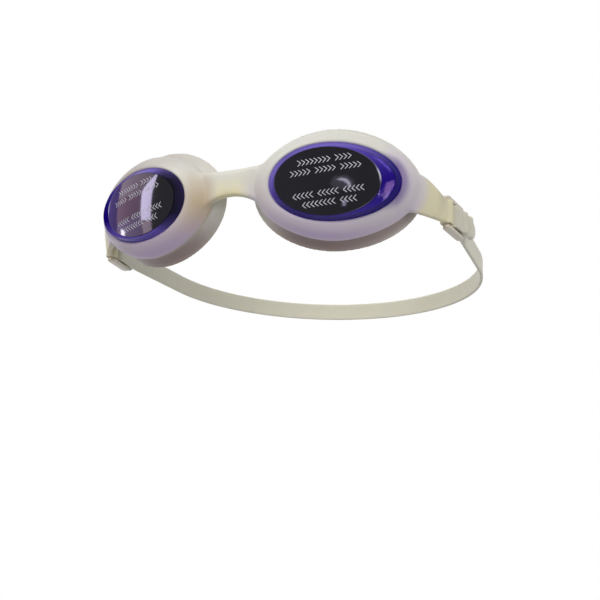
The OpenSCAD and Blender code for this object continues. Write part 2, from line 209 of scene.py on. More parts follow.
class GogglesFittingSizes(bpy.types.PropertyGroup):
    """Sizes of the bridge, arms, buckles and strap"""

    bridge_h: length("Bridge height", "Height of the nose bridge at its middle", 11)
    bridge_t: length("Bridge thickness", "Thickness of the nose bridge", 4.2)
    bridge_up: length("Bridge rise", "Height of the bridge above the lens centres", 4)
    bridge_y: length("Bridge depth", "Distance of its middle behind the lens centres", -1.6)
    bridge_rise: length("Bridge top flare", "Rise of the bridge's top edge at the cups", 0.8)
    bridge_fall: length("Bridge low flare", "Fall of the bridge's lower edge at the cups", 6.5)
    arm_h: length("Arm height", "Height of the side arm at the buckle", 10)
    arm_t: length("Arm thickness", "Thickness of the side arm at the buckle", 2.6)
    arm_top: length("Arm root top", "Height of the arm's top edge at the cup", 5.5)
    arm_low: length("Arm root low", "Height of the arm's lower edge at the cup", -11)
    arm_bow: length("Arm bow", "Outward bow of the side arm", 1.2)
    eyelet_wall: length("Eyelet wall", "Wall of the eyelet round the front bar", 1.3)
    pin_gap: length("Eyelet clearance", "Running clearance of the eyelet", 0.05)
    buckle_turn: angle("Buckle turn", "Outward turn of the buckle", 9)
    pin_r: length("Front bar radius", "Radius of the buckle's front bar", 1.3)
    bar_r: length("Bar radius", "Radius of the middle and rear bars", 1.05)
    mid_y: length("Middle bar", "Distance from the front bar to the middle bar", 6.5)
    rear_y: length("Rear bar", "Distance from the front bar to the rear bar", 13.5)
    rail_h: length("Rail thickness", "Thickness of the buckle's rails", 1.6)
    rail_w: length("Rail width", "Width of the buckle's rails", 3.2)
    rail_gap: length("Rail gap", "Clearance between the eyelet and the rails", 0.3)
    strap_w: length("Strap width", "Width of the strap", 9.5)
    strap_t: length("Strap thickness", "Thickness of the strap", 1.6)
    strap_gap: length("Strap clearance", "Clearance between the strap and the bars", 0.1)
    run_past: length("Strap run", "Straight strap behind the buckle", 1.7)
    lap: length("Strap lap", "Distance from the middle bar to where the tail starts", 3)
    tail_y: length("Tail end", "Distance from the front bar to the end of the tail", 26)
    bend_r: length("Side bend", "Radius of the bend behind the buckle", 50)
    round_y: length("Loop start", "Distance from the front bar to the round back", 64)
    rib_y: length("First rib", "Distance from the front bar to the tail's first grip rib", 14)
    rib_pitch: length("Rib pitch", "Distance between the tail's grip ribs", 6)
    rib_w: length("Rib width", "Width of a grip rib", 3.6)
    rib_h: length("Rib height", "Height of a grip rib", 1.0)


class GogglesColours(bpy.types.PropertyGroup):
    """Colours of the finishes"""

    silicone: colour("Silicone", "Milky silicone of the frame", 214, 211, 201)
    # Painted light passing through the bridge and the arms
    silicone_warm: colour("Warm silicone", "Silicone where light passes through it", 224, 212, 166)
    # Painted shade for the groove behind the ring and the right cup's front
    silicone_deep: colour("Deep silicone", "Silicone in the groove behind the ring", 142, 120, 118)
    # Painted light passing through the slope beside the nose
    silicone_amber: colour("Amber silicone", "Silicone beside the nose, lit through", 188, 164, 122)
    # Painted violet light from the lens on the silicone: a glow below it and a line round it
    violet_glow: colour("Violet glow", "Silicone coloured by the lens beside it", 190, 160, 206)
    violet_rim: colour("Violet rim", "Silicone right at the lens", 110, 84, 148)
    lens: colour("Lens", "Tint of the lens", 32, 2, 132)
    # Painted light at the lens's lower and upper edges
    lens_deep: colour("Deep lens", "Tint of the lens at its thick lower edge", 72, 56, 148)
    lens_light: colour("Light lens", "Tint of the lens at its upper edge", 122, 100, 204)
    # Painted shade at the lens's nose end
    lens_dark: colour("Dark lens", "Tint of the lens at its nose end", 18, 13, 32)
    film: colour("Film", "Dark protective film", 15, 15, 22)
    # Painted highlight along the film's edge
    film_edge: colour("Film edge", "Cut edge of the film", 196, 192, 212)
    film_light: colour("Light film", "Film where it is thinner", 38, 34, 42)
    print_ink: colour("Print", "Printed marks on the film", 206, 203, 212)
    buckle: colour("Buckle", "Colourless moulded buckle", 224, 211, 190)
    strap: colour("Strap", "Milky silicone of the strap", 212, 207, 188)
    floor: colour("Floor", "Pale studio floor", 243, 243, 243)


class GogglesStage(bpy.types.PropertyGroup):
    """Camera and lights"""

    camera_x: length("Camera across", "Camera's distance from the middle plane", 141.6)
    camera_y: length("Camera along", "Camera's distance behind the lens centres", -259.85)
    camera_z: length("Camera height", "Camera's height from the lens centres", -99.0)
    yaw: angle("Camera yaw", "Camera's turn to the left", 23.09)
    pitch: angle("Camera pitch", "Camera's upward tilt", 10.74)
    roll: angle("Camera roll", "Camera's roll", 0.825)
    focal: share("Focal length", "Focal length in millimetres on a 36 mm sensor", 45.55)
    floor_size: length("Floor size", "Width and depth of the floor", 12000)
    ambient: share("Ambient light", "Even light from all round, 1 shows colours as written", 0.44)
    key: share("Key light", "Soft light from the upper left, in the same measure", 0.47)
    fill: share("Fill light", "Soft light from the right, in the same measure", 0.45)


GROUPS = {
    "goggles_cup": GogglesCupSizes,
    "goggles_film": GogglesFilmSizes,
    "goggles_fit": GogglesFittingSizes,
    "goggles_colours": GogglesColours,
    "goggles_stage": GogglesStage,
}


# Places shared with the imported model


def face_origin():
    """The point midway between the lens centres: the flex joint's place less its own offset."""
    cup = bpy.context.scene.goggles_cup
    x, y, z = JOINTS["flex_left"]["pos_m"]
    return np.array([x - cup.flex_x, y - cup.flex_y, z])


def turn(points, axis, radians):
    """Turns points about a coordinate axis through the origin."""
    i, j = [(1, 2), (2, 0), (0, 1)][axis]
    out = np.array(points, float)
    c, s = math.cos(radians), math.sin(radians)
    out[..., i] = points[..., i] * c - points[..., j] * s
    out[..., j] = points[..., i] * s + points[..., j] * c
    return out


def on_cup(points):
    """From the left cup's own frame (X to the temple, Y back, Z up) to the scene."""
    cup = bpy.context.scene.goggles_cup
    out = turn(turn(turn(points, 1, cup.droop), 0, cup.lean), 2, cup.wrap)
    return out + np.array([cup.lens_x, 0, 0]) + face_origin()


def in_cup(points):
    """The reverse of on_cup."""
    cup = bpy.context.scene.goggles_cup
    out = points - face_origin() - np.array([cup.lens_x, 0, 0])
    return turn(turn(turn(out, 2, -cup.wrap), 0, -cup.lean), 1, -cup.droop)


def on_strap(points):
    """From the strap's frame to the scene: X across, Y down the strap's slope, and the origin
    on the middle plane at the height and depth of the front bars."""
    _, ay, az = JOINTS["strap_adjust"]["axis"]
    _, py, pz = JOINTS["buckle_left_turn"]["pos_m"]
    return turn(points, 0, math.atan2(az, ay)) + np.array([0, py, pz])


def on_buckle(points):
    """From the left buckle's frame, whose origin is on the front bar, to the strap's frame."""
    fit = bpy.context.scene.goggles_fit
    bar_x = JOINTS["buckle_left_turn"]["pos_m"][0]
    return turn(points, 2, -fit.buckle_turn) + np.array([bar_x, 0, 0])


# Surfaces


def signed_power(value, exponent):
    """|value| to a power, with value's sign."""
    return np.sign(value) * np.abs(value) ** exponent


def ramp(value, start, end):
    """0 at start, 1 at end, straight between them and level beyond. Start may be the larger."""
    return np.clip((value - start) / (end - start), 0, 1)


def bell(value, centre, width, power=2):
    """exp(-|(value - centre) / width| to a power)."""
    return np.exp(-(np.abs((value - centre) / width) ** power))


def full_turn(points):
    """Evenly spread angles round a circle."""
    return np.linspace(0, 2 * math.pi, points, endpoint=False)


def outline(rows, t, grow=0.0):
    """Superellipse outlines in the cup's frame, one per row [a, b, n, depth, taper, wrap]:
    x = cos(t)^(2/n), y = sin(t)^(2/n), U = (a + grow) x, V = (b + grow) y (1 - taper x), and the
    depth gains U squared over twice the face's radius, and wrap x squared at the temple."""
    rows = np.atleast_2d(rows)[:, :, None]
    a, b, n, depth, taper, wrap = (rows[:, k] for k in range(6))
    x = signed_power(np.cos(t), 2 / n)
    y = signed_power(np.sin(t), 2 / n)
    u = (a + grow) * x
    v = (b + grow) * y * (1 - taper * x)
    face_r = bpy.context.scene.goggles_cup.face_r
    w = depth + u * u / (2 * face_r) + wrap * np.maximum(0, x) ** 2
    return np.stack([u, w, v], axis=-1)


def rounded(rows, times, closed):
    """Corner cutting along the first axis: each step puts points at 1/4 and 3/4 of every span,
    and keeps the two ends unless the line is closed."""
    for _ in range(times):
        after = np.roll(rows, -1, axis=0)
        spans = np.stack([rows * 0.75 + after * 0.25, rows * 0.25 + after * 0.75], axis=1)
        cut = spans.reshape((-1,) + rows.shape[1:])
        rows = cut if closed else np.concatenate([rows[:1], cut[1:-3], rows[-1:]])
    return rows


def grid_faces(rows, columns, closed_rows):
    """Quads of a grid of points whose columns close into rings."""
    r = np.arange(rows if closed_rows else rows - 1)[:, None]
    c = np.arange(columns)[None, :]
    r2, c2 = (r + 1) % rows, (c + 1) % columns
    quads = np.stack([r * columns + c, r * columns + c2, r2 * columns + c2, r2 * columns + c], -1)
    return quads.reshape(-1, 4)


def ring_shell(points):
    """A closed tube: the rows of points close on themselves."""
    return points.reshape(-1, 3), grid_faces(points.shape[0], points.shape[1], True).tolist()


def capped_shell(points):
    """A closed shell: rings of points, with a fan at each end to the end ring's middle."""
    rows, columns = points.shape[:2]
    faces = grid_faces(rows, columns, False).tolist()
    first, last = rows * columns, rows * columns + 1
    c = np.arange(columns)
    c2 = (c + 1) % columns
    base = (rows - 1) * columns
    faces += np.stack([np.full(columns, first), c2, c], -1).tolist()
    faces += np.stack([np.full(columns, last), base + c, base + c2], -1).tolist()
    ends = np.stack([points[0].mean(0), points[-1].mean(0)])
    return np.concatenate([points.reshape(-1, 3), ends]), faces


def piece(name, shells, smooth=True):
    """An object from closed shells, with outward faces and its place in its mesh."""
    points, faces, start = [], [], 0
    for shell_points, shell_faces in shells:
        points.append(shell_points)
        faces += [[start + i for i in face] for face in shell_faces]
        start += len(shell_points)
    mesh = bpy.data.meshes.new(name)
    mesh.from_pydata(np.concatenate(points).tolist(), [], faces)
    work = bmesh.new()
    work.from_mesh(mesh)
    bmesh.ops.recalc_face_normals(work, faces=work.faces)
    work.to_mesh(mesh)
    work.free()
    mesh.polygons.foreach_set("use_smooth", np.full(len(mesh.polygons), smooth))
    made = bpy.data.objects.new(name, mesh)
    bpy.context.scene.collection.objects.link(made)
    return made


def remesh(target, voxel):
    """Melts a piece's overlapping shells into one skin of small even quads."""
    modifier = target.modifiers.new("one_skin", "REMESH")
    modifier.mode = "VOXEL"
    modifier.voxel_size = voxel
    modifier.use_smooth_shade = True
    graph = bpy.context.evaluated_depsgraph_get()
    mesh = bpy.data.meshes.new_from_object(target.evaluated_get(graph))
    old = target.data
    target.modifiers.clear()
    target.data = mesh
    mesh.name = target.name
    bpy.data.meshes.remove(old)


def vertices_of(target):
    """A piece's points as an array."""
    flat = np.zeros(len(target.data.vertices) * 3)
    target.data.vertices.foreach_get("co", flat)
    return flat.reshape(-1, 3)


def relaxed(target, rounds, weight, keep_size=True):
    """Each round moves every point by weight towards the mean of its neighbours, and with
    keep_size a second, slightly larger step goes back, so that the shape doesn't shrink."""
    mesh = target.data
    edges = np.zeros(len(mesh.edges) * 2, np.int64)
    mesh.edges.foreach_get("vertices", edges)
    a, b = edges.reshape(-1, 2).T
    points = vertices_of(target)
    size = len(points)
    count = np.bincount(np.concatenate([a, b]), minlength=size)[:, None]
    for _ in range(rounds):
        for step in (STEP_IN, STEP_BACK) if keep_size else (STEP_IN,):
            total = [np.bincount(a, p[b], size) + np.bincount(b, p[a], size) for p in points.T]
            mean = np.stack(total, axis=1) / np.maximum(count, 1)
            points = points + weight[:, None] * step * (mean - points)
    mesh.vertices.foreach_set("co", points.astype(np.float32).ravel())
    mesh.update()


def closeness(points, curve, reach):
    """1 on the curve's points, falling to 0 as exp(-(distance / reach) squared)."""
    nearest = np.full(len(points), 1e9)
    for part in np.array_split(np.arange(len(points)), max(1, len(points) // 4000)):
        gap = ((points[part, None, :] - curve[None, :, :]) ** 2).sum(-1)
        nearest[part] = gap.min(1)
    return np.exp(-nearest / reach**2)


def half(target, name):
    """Cuts a piece at the middle plane, keeps the left side, and closes the cut."""
    work = bmesh.new()
    work.from_mesh(target.data)
    everything = work.verts[:] + work.edges[:] + work.faces[:]
    bmesh.ops.bisect_plane(
        work, geom=everything, plane_co=(0, 0, 0), plane_no=(-1, 0, 0), clear_outer=True
    )
    rim = [edge for edge in work.edges if edge.is_boundary]
    bmesh.ops.holes_fill(work, edges=rim, sides=0)
    for edge in rim:
        edge.smooth = False
    work.to_mesh(target.data)
    work.free()
    target.name = name


def mirrored(source, name):
    """A copy of a piece on the other side of the middle plane, with its faces still outward."""
    mesh = source.data.copy()
    work = bmesh.new()
    work.from_mesh(mesh)
    bmesh.ops.scale(work, vec=(-1, 1, 1), verts=work.verts)
    bmesh.ops.reverse_faces(work, faces=work.faces)
    work.to_mesh(mesh)
    work.free()
    copy = bpy.data.objects.new(name, mesh)
    mesh.name = name
    bpy.context.scene.collection.objects.link(copy)
    return copy


def pair(left):
    """A left piece and its mirror image, each with its side's name and the sign of its X."""
    right = mirrored(left, left.name.replace("left", "right"))
    return (left, "left", 1), (right, "right", -1)


def paint(target, **painted):
    """Stores values per point, by name, for a material to read."""
    for name, values in painted.items():
        attribute = target.data.attributes.new(name, "FLOAT", "POINT")
        attribute.data.foreach_set("value", values.astype(np.float32))


def shown_on(name):
    """The collection of pieces that a set of glowing cards shows on."""
    return bpy.data.collections.get(name) or bpy.data.collections.new(name)


def dress(target, material, slot, *nodes, cards=None):
    """Gives a piece its material, lets it stand for CAD nodes, and lets a set of glowing cards show
    on it. slot is not used."""
    target.data.materials.clear()
    target.data.materials.append(material)
    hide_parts(*nodes)
    if cards:
        shown_on(cards).objects.link(target)


# The silicone frame


def held(inset, depth, inset_b=None):
    """An outline row that follows the lens."""
    cup = bpy.context.scene.goggles_cup
    inset_b = inset if inset_b is None else inset_b
    return [cup.lens_a - inset, cup.lens_b - inset_b, 2.0, depth, cup.lens_taper, 0.0]


def ringed(inset, depth):
    """An outline row that follows the front ring."""
    cup = bpy.context.scene.goggles_cup
    return [cup.ring_a - inset, cup.ring_b - inset, 1.8, depth, 0.02, 0.0]


def sealed(inset, depth):
    """An outline row that follows the sealing flange."""
    cup = bpy.context.scene.goggles_cup
    return [cup.seal_a - inset, cup.seal_b - inset, 1.94, depth, 0.02, cup.seal_wrap]


def between(first, second, s, depth):
    """An outline row a share s of the way from one row to another, at its own depth."""
    row = [p + (q - p) * s for p, q in zip(first, second)]
    row[ROW_DEPTH] = depth
    return row


def cup_section():
    """The cup's section as a closed list of outline rows: up the lens hole, over the lip, down
    the front slope, round the ring's edge, through the groove, out to the flange and back."""
    cup = bpy.context.scene.goggles_cup
    grip = 0.1 * MM
    roll = 0.8 * MM
    lip = held(grip, 0.05 * MM)
    ring = ringed(0, cup.ring_depth)
    back = cup.ring_depth + cup.ring_back
    waist_depth = cup.ring_depth + (cup.seal_depth - cup.ring_depth) * 0.36
    waist = ringed(cup.waist_in, waist_depth)
    waist[ROW_B] = cup.ring_b - cup.waist_in * 0.6
    waist[ROW_WRAP] = cup.seal_wrap * 0.3
    inner_waist = [waist[0] - cup.wall, waist[1] - cup.wall] + waist[2:]
    seal = sealed(0, cup.seal_depth - roll)
    inner_seal = sealed(cup.wall, cup.seal_depth - roll)
    deep = cup.seal_depth - waist_depth
    slope = [between(lip, ring, out, cup.ring_depth * down) for out, down in FRONT_SLOPE]
    flare = [between(waist, seal, out, waist_depth + deep * down) for out, down in FLANGE_FLARE]
    return [
        # Up the lens hole, over the lip and down the front
        held(grip, cup.shoulder - 0.4 * MM),
        held(grip, 0.9 * MM),
        lip,
        held(grip - 0.45 * MM, -cup.crest),
        held(grip - cup.crest_w, -cup.crest),
        *slope,
        # Round the ring's edge and through the groove
        ring,
        ringed(0, cup.ring_depth + 0.6 * MM),
        ringed(0.25 * MM, back),
        ringed(0.9 * MM, back + 0.35 * MM),
        waist,
        *flare,
        # Round the flange's edge
        seal,
        sealed(0.5 * MM, cup.seal_depth),
        sealed(cup.wall * 0.75, cup.seal_depth - 0.1 * MM),
        # Forwards inside, to the shoulder behind the lens
        inner_seal,
        between(inner_waist, inner_seal, 0.4, waist_depth + deep * 0.45),
        inner_waist,
        between(held(grip - 2.4 * MM, 0), inner_waist, 0.35, cup.shoulder + 1.3 * MM),
        held(grip - 1.4 * MM, cup.shoulder + 0.1 * MM),
        held(grip - 0.4 * MM, cup.shoulder),
    ]


def side_chain(row, top, low, temple, grow):
    """Points down one side of an outline, from height top to height low."""
    v = np.linspace(top, low, ROOT_POINTS)
    t = np.sign(v) * np.arcsin(np.minimum(1, np.abs(v) / row[ROW_B]) ** (row[ROW_N] / 2))
    return on_cup(outline(row, t if temple else math.pi - t, grow)[0])


def side_loop(top, low, temple, grow):
    """A closed loop of points on a cup's side: down its front and up behind its edge."""
    cup = bpy.context.scene.goggles_cup
    rows = ringed(0, cup.ring_depth * 0.62), ringed(0, cup.ring_depth + cup.ring_back)
    front, back = (side_chain(row, top, low, temple, grow) for row in rows)
    return np.concatenate([front, back[::-1]])


def bridge_root(grow):
    """The loop on the cup's nose side where the bridge begins."""
    fit = bpy.context.scene.goggles_fit
    top = fit.bridge_up + fit.bridge_h / 2 + fit.bridge_rise
    return side_loop(top, fit.bridge_up - fit.bridge_h / 2 - fit.bridge_fall, False, grow)


def arm_root(grow):
    """The loop on the cup's temple side where the arm begins."""
    fit = bpy.context.scene.goggles_fit
    return side_loop(fit.arm_top, fit.arm_low, True, grow)


def band_section(height, thickness):
    """A closed section in Y and Z with nearly flat faces and round edges:
    Y = thickness/2 (1 - |k|^5)^(1/3) and Z = height/2 k, down the front and up the back."""
    k = np.linspace(1, -1, ROOT_POINTS)
    y = thickness / 2 * (1 - np.abs(k) ** 5) ** (1 / 3) + 0.1 * MM
    front = np.stack([0 * k, -y, height / 2 * k], -1)
    return np.concatenate([front, (front * (1, -1, 1))[::-1]])


def bridge_shell():
    """The nose bridge: sections carried from cup to cup. With k the distance from the middle as a
    share, Y follows k squared and Z follows k to the 2.6, from the middle section to the end."""
    fit = bpy.context.scene.goggles_fit
    end = bridge_root(-ROOT_SINK)
    middle = band_section(fit.bridge_h, fit.bridge_t)
    middle = middle + face_origin() + np.array([0, fit.bridge_y, fit.bridge_up])
    s = np.linspace(-1, 1, 61)[:, None]
    k = np.abs(s)
    x = s * end[:, 0]
    y = middle[:, 1] + (end[:, 1] - middle[:, 1]) * k**2
    z = middle[:, 2] + (end[:, 2] - middle[:, 2]) * k**2.6
    return capped_shell(np.stack([x, y, z], -1))


def arm_shells():
    """The side arm: sections carried from the cup's temple end to the eyelet, with a bow of
    4 s (1 - s), and the eyelet, a ring about the front bar."""
    fit = bpy.context.scene.goggles_fit
    root = arm_root(-ROOT_SINK)
    bar_x = JOINTS["buckle_left_turn"]["pos_m"][0]
    bore = fit.pin_r + fit.pin_gap
    seat = bore + fit.eyelet_wall * 0.3
    tip = band_section(fit.arm_h, fit.arm_t)
    tip = on_strap(np.stack([bar_x - tip[:, 1], np.full(len(tip), -seat), tip[:, 2]], -1))
    s = np.linspace(0, 1, 41)[:, None, None]
    ease = np.concatenate([s, s, s * s * (3 - 2 * s)], -1)
    bow = np.array([fit.arm_bow, 0, 0]) * 4 * s * (1 - s)
    arm = capped_shell(root + (tip - root) * ease + bow)
    r = bore + EYELET_SECTION[:, 0] * fit.eyelet_wall
    h = EYELET_SECTION[:, 1] * fit.arm_h
    t = full_turn(64)
    ring = np.stack([r[:, None] * np.cos(t), r[:, None] * np.sin(t), h[:, None] + 0 * t], -1)
    return arm, ring_shell(on_strap(ring + np.array([bar_x, 0, 0])))


def frame_paint(points):
    """Painted values of both cups, from each point's place on the left one. rim and glow: painted
    violet light from the lens, next to it and below it. deep: painted shade in the groove behind
    the ring, and on the right cup's front. warm: painted light passing through the bridge and the
    arms. amber: painted light passing through the slope beside the nose."""
    cup = bpy.context.scene.goggles_cup
    points = in_cup(points)
    u, v = points[:, 0], points[:, 2]
    depth = points[:, 1] - u * u / (2 * cup.face_r)
    across = np.hypot(u / cup.ring_a, v / cup.ring_b)
    from_lens = np.maximum(np.hypot(u / cup.lens_a, v / cup.lens_b) - 1, 0) * cup.lens_b
    side = np.clip(u / cup.ring_a, -1, 1)
    temple = np.maximum(side, 0)
    low = ramp(v / cup.ring_b, 0.4, -0.6)
    end = ramp(temple, 0.52, 0.72)

    # Painted violet light from the lens in a thin line round it, wide and strong at its temple end
    rim = bell(from_lens, 0, 0.5 * MM + 1.2 * MM * end, 2 + 1.5 * end) * (0.2 + 0.62 * end)

    # Painted violet light from the lens on the slope: a halo that fades outwards, and a band
    # further out
    halo = bell(from_lens, 0, 6 * MM) * np.maximum(0.5 * low * (1 - 0.55 * temple), 0.4 * end)
    band = bell(from_lens, 6.5 * MM, 2.8 * MM) * low * (0.85 - 0.3 * temple)
    band = band * ramp(v / cup.lens_b, 0.125, -0.5) * ramp(across, 1.15, 0.91)
    front = ramp(depth, cup.ring_depth + 2 * MM, cup.ring_depth)
    glow = 0.9 * (halo + band) * front * ramp(across, 1.13, 1.01)

    # Painted shade in the groove, darkest below, lighter towards the flange's edge and clear of the
    # nose side
    behind = ramp(depth, cup.ring_depth + 1.2 * MM, cup.ring_depth + 4.2 * MM)
    edge = ramp(depth, cup.seal_depth - 2.2 * MM, cup.seal_depth)
    pale = (1 - 0.3 * edge - 0.3 * ramp(edge, 0.7, 1)) * (1 - 0.2 * temple)
    deep = behind * pale * (0.12 + 0.88 * ramp(v / cup.seal_b, 0.5, -0.409))
    deep = deep * (1 - ramp(side, 0, -0.769) ** 2 * ramp(v / cup.seal_b, -0.867, -0.2))
    deep = deep * ramp(across, 1.32, 1.2)

    # Painted shade on the right cup's front, above and below the lens and strongest towards the
    # temple
    shade = 0.72 * ramp(side, -1.083, 0.583) * ramp(np.abs(v) / cup.ring_b, 0.35, 0.75)
    shade = shade * ramp(across, 1.2, 1.1)

    # Painted light passing through the slope beside the nose, round the bridge's root, and then
    # through the bridge and the arm
    nose = ramp(side, -0.265, -0.853) * ramp(across, 0.62, 0.86) * ramp(across, 1.16, 1)
    nose = nose * ramp(np.abs(v + 4 * MM), 15 * MM, 0) ** 0.7 * (1 - behind)
    bridge = np.maximum(ramp(v, 6 * MM, -4 * MM), 0.05) * ramp(across, 1.03, 1.17) * (side < 0)
    arm = 0.7 * ramp(across, 1, 1.1) * (side > 0.8)

    both = {"rim": rim, "glow": glow, "warm": np.maximum(bridge, arm)}
    return {
        "left": {**both, "deep": deep, "amber": nose * 0.12},
        "right": {**both, "deep": np.maximum(deep, shade), "amber": nose * 0.85},
    }


class GOGGLES_OT_frame(bpy.types.Operator):
    """Silicone frame: both eye cups with the nose bridge and the side arms"""

    bl_idname = "goggles.frame"
    bl_label = "Silicone frame"

    def execute(self, context):
        rows = rounded(np.array(cup_section()), 2, closed=True)
        cup = ring_shell(on_cup(outline(rows, full_turn(CUP_POINTS))))
        left = piece("frame_left", [cup, bridge_shell(), *arm_shells()])
        remesh(left, FRAME_VOXEL)
        points = vertices_of(left)
        relaxed(left, 3, np.ones(len(points)))
        seams = np.concatenate([bridge_root(0), arm_root(0)])
        near_seams = closeness(points, seams, FILLET_REACH)
        relaxed(left, FILLET_ROUNDS, near_seams, keep_size=False)
        half(left, "frame_left")
        painted = frame_paint(vertices_of(left))
        material = finish("Milky silicone")
        for made, side, sign in pair(left):
            paint(made, **painted[side])
            nodes = [f"eye_cup_{side}", f"side_arm_{side}"]
            if side == "left":
                nodes.append("nose_bridge")
            dress(made, material, "silicone_frame", *nodes, cards="silicone")
            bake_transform(made)
        return {"FINISHED"}


# Lenses and films


def face_points(u, v, sink):
    """Points of the lens's front face, set back by sink: a shallow dome that falls with
    U squared and V squared, on the face's curve, a little below the lens centre."""
    cup = bpy.context.scene.goggles_cup
    half_u, half_v = cup.lens_a - cup.bevel_w, cup.lens_b - cup.bevel_h
    dome = cup.lens_dome * (1 - (u / half_u) ** 2 - (v / half_v) ** 2)
    w = u * u / (2 * cup.face_r) - cup.lens_proud - dome + sink
    return np.stack([u, w, v - cup.face_drop], -1)


def face_rings(shares, sink, t):
    """Rings of the front face, at shares of its outline, set back by sink."""
    cup = bpy.context.scene.goggles_cup
    edge = outline(held(cup.bevel_w, 0, cup.bevel_h), t)[0]
    shares = np.reshape(shares, (-1, 1))
    return face_points(edge[:, 0] * shares, edge[:, 2] * shares, sink)


def lens_rows(t):
    """Rings from the front of the lens over its bevel, down its wall and back inside."""
    cup = bpy.context.scene.goggles_cup
    wall, foot, soft = cup.lens_wall, cup.lens_foot, 0.3 * MM
    rim, inner = outline([held(0, 0), held(wall + soft, wall * 0.6)], t)
    edge, inner_edge = face_rings(1, 0, t), face_rings(0.985, wall, t)
    bevel = edge + (rim - edge) * LENS_BEVEL[:, None, None]
    walls = [held(0, 0.35 * MM), held(0, foot - soft), held(0, foot), held(soft, foot)]
    walls += [held(wall, foot), held(wall, foot - soft)]
    inside = inner + (inner_edge - inner) * np.array([0, 0.5, 1])[:, None, None]
    front, back = face_rings(LENS_FRONT, 0, t), face_rings(LENS_BACK, wall, t)
    return np.concatenate([front, bevel, outline(walls, t), inside, back])


def lens_paint(points):
    """Painted values of both lenses, from each point's place on the left one: painted light along
    the upper and lower edge, and painted shade at the nose end, which is dark on the right lens."""
    cup = bpy.context.scene.goggles_cup
    points = in_cup(points)
    along, up = points[:, 0] / cup.lens_a, points[:, 2] / cup.lens_b
    out = np.hypot(along, up)

    # Painted light along the upper edge, which fades towards the temple, and at the nose end
    nose_end = ramp(along, -0.5, -0.9) * ramp(up, -1, 0)
    upper = np.maximum(ramp(up, 0, 1) * (1 - ramp(along, 0, 0.909) ** 2), nose_end)

    # Painted light along the lower edge, strongest in its middle
    lower = ramp(up, -0.179, -0.893) * ramp(np.abs(along), 1.2, 0.2)

    # Painted shade at the nose end, and the right lens's painted light, which runs along its lower
    # edge too
    dark = ramp(along, -0.4, -0.62)
    right_dark = dark * np.clip(1.9 - out, 0.86, 1) * ramp(np.abs(up), 1.364, 0.455)
    right_upper = np.maximum(upper, ramp(up, -0.1875, -0.8125))
    return {
        "left": {"upper": upper, "lower": lower, "nose": dark * ramp(out, 0.985, 0.965) * 0.1},
        "right": {"upper": right_upper, "lower": lower * 0.2, "nose": right_dark},
    }


class GOGGLES_OT_lenses(bpy.types.Operator):
    """Tinted lenses: domed dishes with a bevelled edge"""

    bl_idname = "goggles.lenses"
    bl_label = "Tinted lenses"

    def execute(self, context):
        rows = rounded(lens_rows(full_turn(LENS_POINTS)), 2, closed=False)
        left = piece("tinted_lens_left", [capped_shell(on_cup(rows))])
        painted = lens_paint(vertices_of(left))
        material = finish("Violet lens")
        for made, side, _ in pair(left):
            paint(made, **painted[side])
            dress(made, material, "tinted_lens", f"lens_{side}", cards="lenses")
            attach(made, f"eye_{side}")
        return {"FINISHED"}


def film_sizes():
    """Half length, half height and shift of the film on the lens's front face."""
    cup, film = bpy.context.scene.goggles_cup, bpy.context.scene.goggles_film
    a = cup.lens_a - cup.bevel_w - (film.nose + film.temple) / 2
    return a, cup.lens_b - cup.bevel_h - film.edge, (film.temple - film.nose) / 2


def film_rings(shares, rise, t):
    """Rings of the film, at shares of the way out from its centre, rise above the lens."""
    a, b, shift = film_sizes()
    shares = np.reshape(shares, (-1, 1))
    return face_points(a * shares * np.cos(t) - shift, b * shares * np.sin(t), -rise)


def film_edge(points):
    """How much of the light each point of the left film catches: its lip, widest at the temple
    end, and brightest there and at two places above and below."""
    a, b, shift = film_sizes()
    points = in_cup(points)
    drop = bpy.context.scene.goggles_cup.face_drop
    out = np.hypot((points[:, 0] + shift) / a, (points[:, 2] + drop) / b)
    turned = np.arctan2(points[:, 2] / b, points[:, 0] / a)
    peak = sum(strength * bell(turned, at, width) for at, width, strength in FILM_GLINTS)
    start = 0.985 - 0.022 * bell(turned, 0.18, 0.2)
    return ramp(out, start, start + 0.012) * np.minimum(peak, 1)


def mark_strip(u, v, direction, tilt):
    """One printed chevron: two slanted bars that meet at its point, in five steps of four points,
    two laid on the film and two just above. X = u + width (1/2 - |s|) and Z = v + height s/2."""
    film = bpy.context.scene.goggles_film
    s = np.linspace(-1, 1, 5)[:, None]
    x = u + direction * (0.5 - np.abs(s)) * film.mark_w
    x = x + np.array([-0.5, 0.5, 0.5, -0.5]) * film.stroke
    y = v + s * film.mark_h / 2
    rise = film.gap + film.thick + INK_GAP + np.array([0, 0, 1, 1]) * INK_THICK
    c, k = math.cos(tilt), math.sin(tilt)
    return face_points(x * c - y * k - film_sizes()[2], x * k + y * c, -rise)


def film_print(name, sign):
    """All printed marks of one film. The rows' tilt keeps its sense on the mirrored side."""
    film = bpy.context.scene.goggles_film
    shells = []
    for height, places, empty, direction in PRINT_ROWS:
        for i in sorted(set(range(places)) - set(empty)):
            u = (i - (places - 1) / 2) * film.mark_pitch
            strip = mark_strip(u * sign, height * MM, direction * sign, film.tilt * sign)
            shells.append(flat_ended(on_cup(strip) * (sign, 1, 1)))
    return piece(name, shells, smooth=False)


